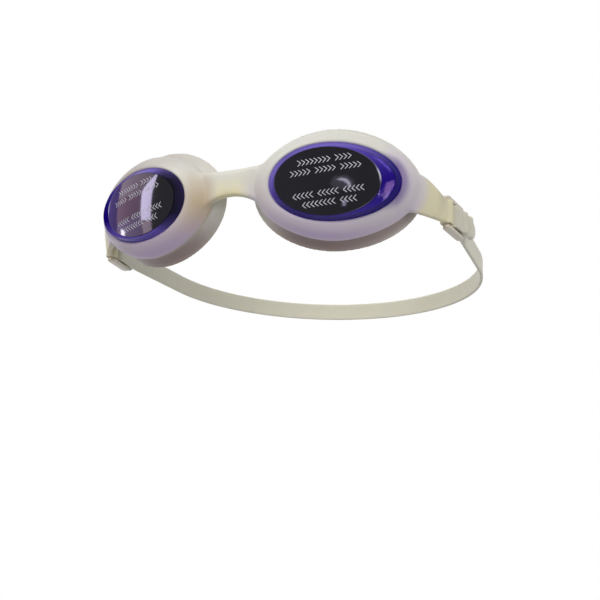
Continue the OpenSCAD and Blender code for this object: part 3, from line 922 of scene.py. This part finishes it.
class GOGGLES_OT_films(bpy.types.Operator):
    """Protective films with rows of plain printed marks"""

    bl_idname = "goggles.films"
    bl_label = "Protective films"

    def execute(self, context):
        film = context.scene.goggles_film
        t = full_turn(LENS_POINTS)
        low, top = film.gap, film.gap + film.thick
        rows = np.concatenate(
            [
                film_rings(FILM_FACE, top, t),
                film_rings(1, top - FILM_ROUND, t),
                film_rings(1, low + FILM_ROUND, t),
                film_rings(FILM_FACE[::-1], low, t),
            ]
        )
        left = piece("lens_film_left", [capped_shell(on_cup(rows))])
        paint(left, edge=film_edge(vertices_of(left)))
        material, ink = finish("Dark film"), finish("Film print")
        for made, side, sign in pair(left):
            marks = film_print(f"film_print_{side}", sign)
            dress(made, material, "lens_film", f"film_{side}", cards="films")
            dress(marks, ink, "lens_film")
            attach(made, f"film_{side}")
            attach(marks, f"film_{side}")
        return {"FINISHED"}


# Buckles and strap


def rounded_disc(flat, low, high, edge):
    """A flat piece with rounded edges: its outline carried up a profile that draws in by edge
    at both faces."""
    away = flat - flat.mean(0)
    unit = away / np.linalg.norm(away, axis=1, keepdims=True)
    profile = [(share_in, low + edge * rise) for share_in, rise in EDGE_PROFILE]
    profile += [(share_in, high - edge * rise) for share_in, rise in EDGE_PROFILE[::-1]]
    return np.array([np.insert(flat - unit * edge * k, 2, z, axis=1) for k, z in profile])


def buckle_shells():
    """The buckle in its own frame: two rails with round ends, and three round bars."""
    fit = bpy.context.scene.goggles_fit
    r, back = fit.rail_w / 2, fit.rear_y + 1 * MM
    t = np.linspace(0, math.pi, 24)
    end = np.stack([r * np.cos(t), r * np.sin(t)], -1)
    stadium = np.concatenate([-end, end + np.array([0, back])])
    rail_in = fit.arm_h / 2 + fit.rail_gap
    points = [
        rounded_disc(stadium, low, low + fit.rail_h, 0.45 * MM)
        for low in (rail_in, -rail_in - fit.rail_h)
    ]
    t = full_turn(40)
    middle = rail_in + fit.rail_h / 2
    for y, radius in ((0, fit.pin_r), (fit.mid_y, fit.bar_r), (fit.rear_y, fit.bar_r)):
        circle = np.stack([radius * np.cos(t), y + radius * np.sin(t)], -1)
        points.append(np.array([np.insert(circle, 2, z, axis=1) for z in (-middle, middle)]))
    return [capped_shell(on_strap(on_buckle(rows))) for rows in points]


class GOGGLES_OT_buckles(bpy.types.Operator):
    """Colourless three-bar buckles"""

    bl_idname = "goggles.buckles"
    bl_label = "Buckles"

    def execute(self, context):
        left = piece("clear_buckle_left", buckle_shells())
        remesh(left, BUCKLE_VOXEL)
        relaxed(left, 6, np.ones(len(left.data.vertices)))
        material = finish("Clear buckle plastic")
        for made, side, _ in pair(left):
            dress(made, material, "clear_buckle", f"buckle_{side}", cards="silicone")
            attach(made, f"buckle_{side}")
        return {"FINISHED"}


def strap_profile():
    """The strap's section as a closed line of (across, up): a flat band with rounded edges,
    across = thickness/2 cos(t)^0.42 and up = width/2 sin(t)^0.2, and a shallow dip along the
    middle of both faces, which falls off as a square root."""
    fit = bpy.context.scene.goggles_fit
    t = full_turn(72)
    across = signed_power(np.cos(t), 0.42) * fit.strap_t / 2
    up = signed_power(np.sin(t), 0.2) * fit.strap_w / 2
    dip = 0.12 * MM * ramp(np.abs(up), fit.strap_w * 0.36, 0) ** 0.5
    return across - np.where(across > 0, dip, -dip), up


def strap_band(path, outward, taper=1):
    """The strap's section carried along a path of (x, y) points, with its across direction
    along outward, in the strap's frame. taper scales its width at each point."""
    across, up = strap_profile()
    flat = path[:, None, :] + outward[:, None, :] * across[None, :, None]
    height = up * (np.ones(len(path)) * taper)[:, None]
    return np.concatenate([flat, height[..., None]], -1)


def strap_run():
    """Distance of the strap's runs from the middle bar's axis, and the end of the inner run."""
    fit = bpy.context.scene.goggles_fit
    side = fit.bar_r + fit.strap_gap + fit.strap_t / 2
    return side, fit.rear_y + fit.rail_w / 2 + fit.run_past


def arc(centre, radius, start, end, points):
    """Points and outward directions on an arc, from one angle to another."""
    t = np.linspace(start, end, points)
    out = np.stack([np.cos(t), np.sin(t)], -1)
    return np.array(centre) + radius * out, out


def run(first, last, outward, points):
    """Points on a straight line, with one outward direction."""
    s = np.linspace(0, 1, points)[:, None]
    path = np.array(first) + (np.array(last) - np.array(first)) * s
    return path, np.tile(outward, (points, 1))


def joined(*parts):
    """Lines and their outward directions end to end. The first point of each part but the first
    is left out, since the part before it ends there."""
    rest = parts[1:]
    return [np.concatenate([parts[0][k]] + [part[k][1:] for part in rest]) for k in (0, 1)]


def wrap_and_tail():
    """The strap through the buckle, in the buckle's frame: from the inner run's end forwards,
    half a turn round the middle bar, and back along the outside to the tail's round end. Two
    grip ribs cross the tail's outer face: each rises by exp(-(distance / half width)^4)."""
    fit = bpy.context.scene.goggles_fit
    side, run_y = strap_run()
    round_start = fit.tail_y - fit.strap_w / 2
    t = np.linspace(0, math.pi / 2, 22)
    tip_y = round_start + fit.strap_w / 2 * np.sin(t) * 0.999
    path, outward = joined(
        run((-side, run_y), (-side, fit.mid_y), (-1, 0), 16),
        arc((0, fit.mid_y), side, math.pi, 2 * math.pi, 28),
        run((side, fit.mid_y), (side, round_start), (1, 0), 90),
        (np.stack([side + 0 * t, tip_y], -1), np.tile((1, 0), (len(t), 1))),
    )
    taper = np.ones(len(path))
    taper[1 - len(t) :] = np.maximum(np.cos(t[1:]), 0.03)
    band = strap_band(path, outward, taper)
    outside = np.clip((band[..., 0] - side) / (fit.strap_t / 2), 0, 1)
    for rib_y in (fit.rib_y, fit.rib_y + fit.rib_pitch):
        swell = bell(band[..., 1], rib_y, fit.rib_w / 2, 4)
        band[..., 0] += swell * outside * fit.rib_h * (path[:, 0] > 0)[:, None]
    return band


def strap_line():
    """The left side of the strap behind the buckle, in the strap's frame: the bend out of the
    buckle's angle, the straight side and half of the round back, with its outward directions."""
    fit = bpy.context.scene.goggles_fit
    side, run_y = strap_run()
    start = on_buckle(np.array([-side, run_y, 0.0]))[:2]
    tilt = fit.buckle_turn
    centre = start - fit.bend_r * np.array([math.cos(tilt), -math.sin(tilt)])
    x = centre[0] + fit.bend_r
    return joined(
        arc(centre, fit.bend_r, -tilt, 0, 20),
        run((x, centre[1]), (x, fit.round_y), (1, 0), 60),
        arc((0, fit.round_y), x, 0, math.pi / 2, 90),
    )


def strap_stretch(first, last):
    """The part of the strap's left side between two distances behind the front bar, with its
    cut ends on the exact distances."""
    path, outward = strap_line()
    keep = (path[:, 1] > first + 0.2 * MM) & (path[:, 1] < last - 0.2 * MM)
    ends = []
    for y in (first, last):
        i = int(np.clip(np.searchsorted(path[:, 1], y), 1, len(path) - 1))
        s = (y - path[i - 1, 1]) / (path[i, 1] - path[i - 1, 1])
        out = outward[i - 1] + (outward[i] - outward[i - 1]) * s
        ends.append((path[i - 1] + (path[i] - path[i - 1]) * s, out / np.linalg.norm(out)))
    lines = np.concatenate([[ends[0][0]], path[keep], [ends[1][0]]])
    outs = np.concatenate([[ends[0][1]], outward[keep], [ends[1][1]]])
    return lines, outs


def flat_ended(points):
    """A closed strip whose two ends are flat."""
    rows, columns = points.shape[:2]
    faces = grid_faces(rows, columns, False).tolist()
    faces.append(list(range(columns))[::-1])
    faces.append(list(range((rows - 1) * columns, rows * columns)))
    return points.reshape(-1, 3), faces


def strap_piece(name, line, outward):
    """A stretch of the strap. The edges of its two end faces stay sharp, so that its sides are
    evenly shaded."""
    made = piece(name, [flat_ended(on_strap(strap_band(line, outward)))])
    work = bmesh.new()
    work.from_mesh(made.data)
    for face in work.faces:
        if len(face.verts) > 4:
            face.smooth = False
            for edge in face.edges:
                edge.smooth = False
    work.to_mesh(made.data)
    work.free()
    return made


def strap_point(y):
    """A scene point in the middle of the strap's left side, at a distance behind the bar."""
    line, _ = strap_stretch(y, y + 1 * MM)
    return on_strap(np.append(line[0], 0))


class GOGGLES_OT_strap(bpy.types.Operator):
    """Head strap with its wraps, tails, bending sides and round back"""

    bl_idname = "goggles.strap"
    bl_label = "Head strap"

    def execute(self, context):
        fit = context.scene.goggles_fit
        material = finish("Milky strap")
        lap = np.array([strap_run()[0], fit.mid_y + fit.lap, 0])
        ends = on_strap(on_buckle(np.array([lap, lap + TAIL_FADE])))
        tail = piece("strap_tail_band_left", [capped_shell(on_strap(on_buckle(wrap_and_tail())))])
        for made, side, sign in pair(tail):
            nodes = f"strap_wrap_{side}", f"strap_tail_{side}"
            dress(made, material, "strap_silicone", *nodes, cards="silicone")
            start, end = ends * (sign, 1, 1)
            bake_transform(made)
        path, outward = strap_line()
        for k, (first, last, body_a, body_b) in enumerate(STRAP_ZONES):
            first = path[0, 1] if first is None else first
            band = strap_piece(f"strap_side_{k + 1}_left", *strap_stretch(first, last))
            for made, side, sign in pair(band):
                dress(made, material, "strap_silicone", f"strap_side_{side}")
                start, end = (strap_point(y) * (sign, 1, 1) for y in (first, last))
                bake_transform(made)
        line, outs = strap_stretch(STRAP_ZONES[-1][1], path[-1, 1] - 0.3 * MM)
        line[-1], outs[-1] = path[-1], outward[-1]
        whole, whole_out = (np.concatenate([part, part[-2::-1] * (-1, 1)]) for part in (line, outs))
        loop = strap_piece("head_strap_band", whole, whole_out)
        dress(loop, material, "strap_silicone", "head_strap")
        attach(loop, "strap")
        return {"FINISHED"}


# Materials


def node(tree, kind, x, y, inputs=None, **settings):
    """Adds a node with its settings and its inputs."""
    made = tree.nodes.new(kind)
    made.location = (x, y)
    for key, value in settings.items():
        setattr(made, key, value)
    feed(tree, made, inputs or {})
    return made


def feed(tree, made, inputs):
    """Gives a node's inputs, by name or number, their values, or links them where the value is
    another node's socket."""
    for key, value in inputs.items():
        if isinstance(value, bpy.types.NodeSocket):
            tree.links.new(value, made.inputs[key])
        else:
            made.inputs[key].default_value = value


def maths(tree, operation, first, second, x, y):
    """The result of an operation on two values, each a socket or a number."""
    return node(tree, "ShaderNodeMath", x, y, {0: first, 1: second}, operation=operation).outputs[0]


def clouding_group():
    """Shared effect: soft clouds in a plastic and a fine ripple of its skin, in object space."""
    name = "Moulded clouding"
    if name in bpy.data.node_groups:
        return bpy.data.node_groups[name]
    group = bpy.data.node_groups.new(name, "ShaderNodeTree")
    face = group.interface
    for label, default in (("Cloud Scale", 60.0), ("Ripple Scale", 900.0)):
        socket = face.new_socket(label, in_out="INPUT", socket_type="NodeSocketFloat")
        socket.default_value = default
    face.new_socket("Cloud", in_out="OUTPUT", socket_type="NodeSocketFloat")
    face.new_socket("Ripple", in_out="OUTPUT", socket_type="NodeSocketFloat")
    start = node(group, "NodeGroupInput", -600, 0)
    end = node(group, "NodeGroupOutput", 300, 0)
    place = node(group, "ShaderNodeTexCoord", -600, -200).outputs["Object"]
    for label, y, detail in (("Cloud", 100, 2.0), ("Ripple", -200, 3.0)):
        inputs = {"Vector": place, "Scale": start.outputs[f"{label} Scale"], "Detail": detail}
        noise = node(group, "ShaderNodeTexNoise", -300, y, inputs)
        feed(group, end, {label: noise.outputs["Fac"]})
    return group


def material_base(name):
    """A new material, its tree and its shader."""
    made = bpy.data.materials.new(name)
    made.use_nodes = True
    return made, made.node_tree, made.node_tree.nodes["Principled BSDF"]


def scaled(tree, value, low, high, x, y):
    """Maps a value of 0 to 1 to a range."""
    inputs = {"Value": value, "To Min": low, "To Max": high}
    return node(tree, "ShaderNodeMapRange", x, y, inputs).outputs["Result"]


# Sockets of a colour mix: its factor, its two colours and its result
MIX_FACTOR, MIX_A, MIX_B, MIX_RESULT = 0, 6, 7, 2

# Finishes. Each layer lies over the base: what mixes it in (a painted value, or a range of the
# clouding), its colour and the share of that colour's light. rough: an effect and its range.
# relief: an effect, its strength and its depth. inputs: the shader's constants.
FINISHES = {
    # Milky, with painted violet light beside the lens, painted shade in the groove and on the right
    # cup's front, and painted light passing through the bridge, arms and nose side
    "Milky silicone": {
        "base": "silicone",
        "layers": (
            ("warm", "silicone_warm", 1),
            ("deep", "silicone_deep", 1),
            ("glow", "violet_glow", 1),
            ("amber", "silicone_amber", 1),
            ("rim", "violet_rim", 1),
            ((0.02, 0.12), "silicone", 0.82),
        ),
        "rough": ("Ripple", 0.36, 0.5),
        "relief": ("Ripple", 0.05, 0.0003),
        "inputs": {
            "IOR": 1.42,
            "Subsurface Weight": 0.3,
            "Subsurface Radius": (1.0, 0.82, 0.62),
            "Subsurface Scale": 0.002,
        },
    },
    # Milky, a little clouded, with a soft gloss
    "Milky strap": {
        "base": "strap",
        "layers": (((0.0, 0.25), "strap", 0.86),),
        "rough": ("Ripple", 0.36, 0.55),
        "relief": ("Ripple", 0.06, 0.0003),
        "inputs": {
            "IOR": 1.42,
            "Subsurface Weight": 0.3,
            "Subsurface Radius": (1.0, 0.9, 0.75),
            "Subsurface Scale": 0.002,
        },
    },
    # Half clear, with painted light at its upper and lower edges and painted shade at its nose end.
    # The low index keeps the studio's white off it.
    "Violet lens": {
        "base": "lens",
        "layers": (("upper", "lens_light", 1), ("lower", "lens_deep", 1), ("nose", "lens_dark", 1)),
        "rough": ("Ripple", 0.04, 0.055),
        "inputs": {"IOR": 1.15, "Transmission Weight": 0.4},
    },
    # Near-black and glossy, with a painted highlight along its cut edge
    "Dark film": {
        "base": "film",
        "layers": (((0.0, 0.6), "film_light", 1), ("edge", "film_edge", 1)),
        "rough": ("Cloud", 0.04, 0.08),
        "relief": ("Cloud", 0.06, 0.0004),
        "inputs": {"IOR": 1.45, "Specular IOR Level": 0.15},
    },
    # Pale, thin and uneven
    "Film print": {
        "base": "print_ink",
        "layers": (((0.0, 0.7), "print_ink", 0.45),),
        "clouds": {"Cloud Scale": 500.0},
        "inputs": {"Roughness": 0.5},
    },
    # Colourless, slightly milky, with fine flow marks
    "Clear buckle plastic": {
        "base": "buckle",
        "layers": (((0.0, 0.3), "buckle", 0.85),),
        "rough": ("Ripple", 0.12, 0.25),
        "relief": ("Ripple", 0.04, 0.0002),
        "inputs": {"IOR": 1.49, "Transmission Weight": 0.2},
    },
}


def finish(name):
    """A material of the finishes' table."""
    colours = bpy.context.scene.goggles_colours
    recipe = FINISHES[name]
    made, tree, shader = material_base(name)
    clouds = node(tree, "ShaderNodeGroup", -1300, 0, node_tree=clouding_group())
    feed(tree, clouds, recipe.get("clouds", {}))
    tone = (*getattr(colours, recipe["base"]), 1)
    for i, (by, other, light) in enumerate(recipe["layers"]):
        x = 150 * i - 1000
        if isinstance(by, str):
            factor = node(tree, "ShaderNodeAttribute", x, 500, attribute_name=by).outputs["Fac"]
        else:
            factor = scaled(tree, clouds.outputs["Cloud"], *by, x, 100)
        layer = (*(c * light for c in getattr(colours, other)), 1)
        inputs = {MIX_FACTOR: factor, MIX_A: tone, MIX_B: layer}
        mix = node(tree, "ShaderNodeMix", x + 150, 300, inputs, data_type="RGBA")
        tone = mix.outputs[MIX_RESULT]
    inputs = {**recipe["inputs"], "Base Color": tone}
    if "rough" in recipe:
        effect, low, high = recipe["rough"]
        inputs["Roughness"] = scaled(tree, clouds.outputs[effect], low, high, -700, -300)
    if "relief" in recipe:
        effect, strength, depth = recipe["relief"]
        relief = {"Height": clouds.outputs[effect], "Strength": strength, "Distance": depth}
        inputs["Normal"] = node(tree, "ShaderNodeBump", -250, -400, relief).outputs["Normal"]
    feed(tree, shader, inputs)
    return made


# Studio

# Glow of the floor towards the camera, and how much further off each card is than the one before
FLOOR_LIFT, CARD_STEP = 0.16, 0.03


def soft_sun(name, toward, share_of_white, spread):
    """Even light from far away. A share of 1 shows a facing surface's colour as written."""
    light = bpy.data.lights.new(name, "SUN")
    light.energy = share_of_white * math.pi
    light.angle = math.radians(spread)
    made = bpy.data.objects.new(name, light)
    made.rotation_euler = Vector(toward).to_track_quat("Z", "Y").to_euler()
    made.visible_glossy = False
    bpy.context.scene.collection.objects.link(made)


def flat_face(name, corners, material):
    """An object of the stage with one flat face."""
    mesh = bpy.data.meshes.new(name)
    mesh.from_pydata(corners, [], [list(range(len(corners)))])
    mesh.materials.append(material)
    made = bpy.data.objects.new(name, mesh)
    bpy.context.scene.collection.objects.link(made)
    return made


def glow_card(centre, pieces, step, name, corners, tint, brightness):
    """A glowing card a metre or a few steps more from a point, which shows only in reflections
    on some pieces. Its corners are compass angles and heights in degrees, from that point."""
    sides, heights = np.radians(np.array(corners, float)).T
    flat = np.cos(heights)
    toward = np.stack([np.sin(sides) * flat, -np.cos(sides) * flat, np.sin(heights)], -1)
    material, tree, _ = material_base(name)
    light = {"Color": (*tint, 1), "Strength": brightness}
    light = node(tree, "ShaderNodeEmission", 0, 200, light)
    feed(tree, tree.nodes["Material Output"], {"Surface": light.outputs[0]})
    made = flat_face(name, (centre + toward * (1 + CARD_STEP * step)).tolist(), material)
    made.visible_camera = made.visible_diffuse = made.visible_shadow = False
    made.visible_transmission = False
    made.light_linking.receiver_collection = shown_on(pieces)


def output_mix(tree, output, factor, first, second):
    """Sends a mix of two shaders to the tree's output."""
    inputs = {0: factor, 1: first.outputs[0], 2: second.outputs[0]}
    blend = node(tree, "ShaderNodeMixShader", 400, 200, inputs)
    feed(tree, tree.nodes[output], {"Surface": blend.outputs[0]})


def floor_material(name):
    """A pale matt floor that the camera looks through from below. It still holds the shadow
    and blocks light from below."""
    made, tree, shader = material_base(name)
    seen = node(tree, "ShaderNodeLightPath", -600, 250).outputs["Is Camera Ray"]
    back = node(tree, "ShaderNodeNewGeometry", -600, 500).outputs["Backfacing"]
    inputs = {
        "Base Color": (*bpy.context.scene.goggles_colours.floor, 1),
        "Roughness": 0.8,
        "Emission Color": (1, 1, 1, 1),
        "Emission Strength": maths(tree, "MULTIPLY", seen, FLOOR_LIFT, -400, 0),
    }
    feed(tree, shader, inputs)
    clear = node(tree, "ShaderNodeBsdfTransparent", -200, 200)
    through = maths(tree, "MULTIPLY", back, seen, -400, 400)
    output_mix(tree, "Material Output", through, shader, clear)
    return made


def studio_world(ambient):
    """Even light, and plain white for what the camera sees, glosses mirror and lenses let by."""
    world = bpy.data.worlds.new("Studio")
    world.use_nodes = True
    tree = world.node_tree
    light = tree.nodes["Background"]
    feed(tree, light, {"Color": (0.93, 0.96, 1.0, 1), "Strength": ambient})
    seen = node(tree, "ShaderNodeBackground", 0, -200, {"Color": (1, 1, 1, 1), "Strength": 1.0})
    rays = node(tree, "ShaderNodeLightPath", -600, 300).outputs
    white = maths(tree, "MAXIMUM", rays["Is Camera Ray"], rays["Is Glossy Ray"], -400, 300)
    white = maths(tree, "MAXIMUM", white, rays["Is Transmission Ray"], -200, 300)
    output_mix(tree, "World Output", white, light, seen)
    return world


def studio_camera(stage, middle):
    """The camera: it looks along Y, then rolls, tilts up and turns to the left."""
    data = bpy.data.cameras.new("camera")
    data.lens, data.sensor_width = stage.focal, 36
    data.clip_start, data.clip_end = 0.01, 20
    camera = bpy.data.objects.new("camera", data)
    turned = (
        Matrix.Rotation(stage.yaw, 4, "Z")
        @ Matrix.Rotation(math.pi / 2 + stage.pitch, 4, "X")
        @ Matrix.Rotation(stage.roll, 4, "Z")
    )
    place = middle + np.array([stage.camera_x, stage.camera_y, stage.camera_z])
    camera.matrix_world = Matrix.Translation(place) @ turned
    bpy.context.scene.collection.objects.link(camera)
    return camera


# Glowing cards: name, corners (compass angle, height), tint and brightness
FAR_CARDS = (
    (
        "window",
        (
            (-58.3, 1.8), (-51.4, 0.6), (-51.0, 7.5), (-50.9, 12.7), (-50.2, 17.3), (-49.5, 22.4),
            (-50.4, 22.4), (-52.4, 20.6), (-55.1, 18.4), (-57.3, 16.4), (-58.3, 14.8),
        ),
        (0.78, 0.7, 1.0),
        42,
    ),
    ("wall_end", ((-92, -12), (-78.6, -12), (-75.8, 29), (-92, 29)), (0.36, 0.22, 0.9), 4),
    ("sparkle", ((-74.6, -1), (-72, -2), (-71.4, 1), (-74.2, 2.6)), (0.9, 0.85, 1.0), 45),
    ("window_foot", ((-57.6, -8), (-51.9, -7), (-51.4, 0.2), (-58.3, 1.4)), (1.0, 0.76, 0.98), 13),
    (
        "wall_upper",
        (
            (-81, 14), (-58.7, 14.4), (-57.6, 16.7), (-55.3, 18.8), (-52.6, 21), (-50.6, 22.8),
            (-50, 29), (-81, 29),
        ),
        (1.0, 0.76, 1.02),
        6.5,
    ),
    ("wall_middle", ((-81, 5), (-58.6, 5), (-58.7, 14.2), (-81, 13.8)), (1.0, 0.6, 0.98), 5),
    ("wall_lower", ((-79, -12), (-58, -12), (-58.6, 4.8), (-80, 4.8)), (0.8, 0.58, 1.1), 6.5),
)
NEAR_CARDS = (
    (
        "lamp",
        (
            (12.2, 8.5), (14.4, 9.5), (17, 9), (19, 6.8), (19.4, 4.2), (18.1, 4.3), (17.2, 6.4),
            (15.2, 7.8),
        ),
        (0.8, 0.78, 1.0),
        38,
    ),
    (
        "lamp_halo",
        ((9, 6), (11, 10.4), (17, 11), (20.6, 8), (20.8, 3.4), (13, 3)),
        (0.85, 0.78, 1.0),
        4,
    ),
    ("lamp_below", ((15, -6.2), (16.8, -6.2), (17, -3), (15.2, -3)), (0.75, 0.7, 1.0), 26),
)
LENS_CARDS = (
    ("streak", ((26.9, 25.1), (37.9, 13.1), (39.9, 14.9), (28.3, 26.3)), (0.38, 0.26, 1.0), 44),
    (
        "patch",
        ((34.6, 2.9), (35.5, 0.6), (37.8, 2.3), (40.1, 8.5), (36.4, 7.4)),
        (0.95, 0.56, 1.0),
        29,
    ),
    (
        "stroke",
        ((33.2, -4.2), (33.0, -5.6), (35.0, -5.2), (39.7, 7), (38.7, 6.5)),
        (0.8, 0.55, 1.0),
        54,
    ),
    (
        "hook",
        ((31.9, -0.3), (35.0, 0.2), (35.0, 1), (32.7, 0.6), (33.2, 4.6), (32.7, 4.6)),
        (0.8, 0.55, 1.0),
        50,
    ),
)
SILICONE_CARDS = (("softbox", ((-48, 24), (-4, 24), (-8, 52), (-52, 52)), (1.0, 0.99, 0.95), 5),)


class GOGGLES_OT_stage(bpy.types.Operator):
    """Pale floor, soft studio light and the camera"""

    bl_idname = "goggles.stage"
    bl_label = "Stage"

    def execute(self, context):
        scene = context.scene
        stage = scene.goggles_stage
        reach = stage.floor_size / 2
        corners = [(-reach, -reach, 0), (reach, -reach, 0), (reach, reach, 0), (-reach, reach, 0)]
        floor = flat_face("floor", corners, floor_material("Pale floor"))
        floor.visible_diffuse = floor.visible_glossy = False
        scene.world = studio_world(stage.ambient)
        soft_sun("key", toward=(-0.35, -0.75, 0.56), share_of_white=stage.key, spread=35)
        soft_sun("fill", toward=(0.75, -0.6, 0.1), share_of_white=stage.fill, spread=50)
        middle = face_origin()
        to_lens = np.array([scene.goggles_cup.lens_x, 0, 0])
        for centre, pieces, cards in (
            (middle - to_lens, "films", FAR_CARDS),
            (middle + to_lens, "films", NEAR_CARDS),
            (middle + to_lens, "lenses", LENS_CARDS),
            (middle, "silicone", SILICONE_CARDS),
        ):
            for step, card in enumerate(cards):
                glow_card(centre, pieces, step, *card)
        scene.camera = studio_camera(stage, middle)
        scene.view_settings.view_transform = "Standard"
        return {"FINISHED"}


class GOGGLES_PT_panel(bpy.types.Panel):
    """Buttons for each group of pieces"""

    bl_label = "Swimming Goggles"
    bl_idname = "GOGGLES_PT_panel"
    bl_space_type = "VIEW_3D"
    bl_region_type = "UI"
    bl_category = "Goggles"

    def draw(self, context):
        for operator in OPERATORS:
            self.layout.operator(operator.bl_idname)


OPERATORS = (
    GOGGLES_OT_stage,
    GOGGLES_OT_frame,
    GOGGLES_OT_lenses,
    GOGGLES_OT_films,
    GOGGLES_OT_buckles,
    GOGGLES_OT_strap,
)
CLASSES = (*GROUPS.values(), *OPERATORS, GOGGLES_PT_panel)


def register():
    """Adds the classes and the scene's groups of values."""
    for item in CLASSES:
        bpy.utils.register_class(item)
    for name, group in GROUPS.items():
        setattr(bpy.types.Scene, name, bpy.props.PointerProperty(type=group))


def unregister():
    """Removes them again."""
    for name in GROUPS:
        delattr(bpy.types.Scene, name)
    for item in reversed(CLASSES):
        bpy.utils.unregister_class(item)


def main():
    """Builds everything."""
    register()
    for operator in OPERATORS:
        group, name = operator.bl_idname.split(".")
        getattr(getattr(bpy.ops, group), name)()


if __name__ == "__main__":
    main()
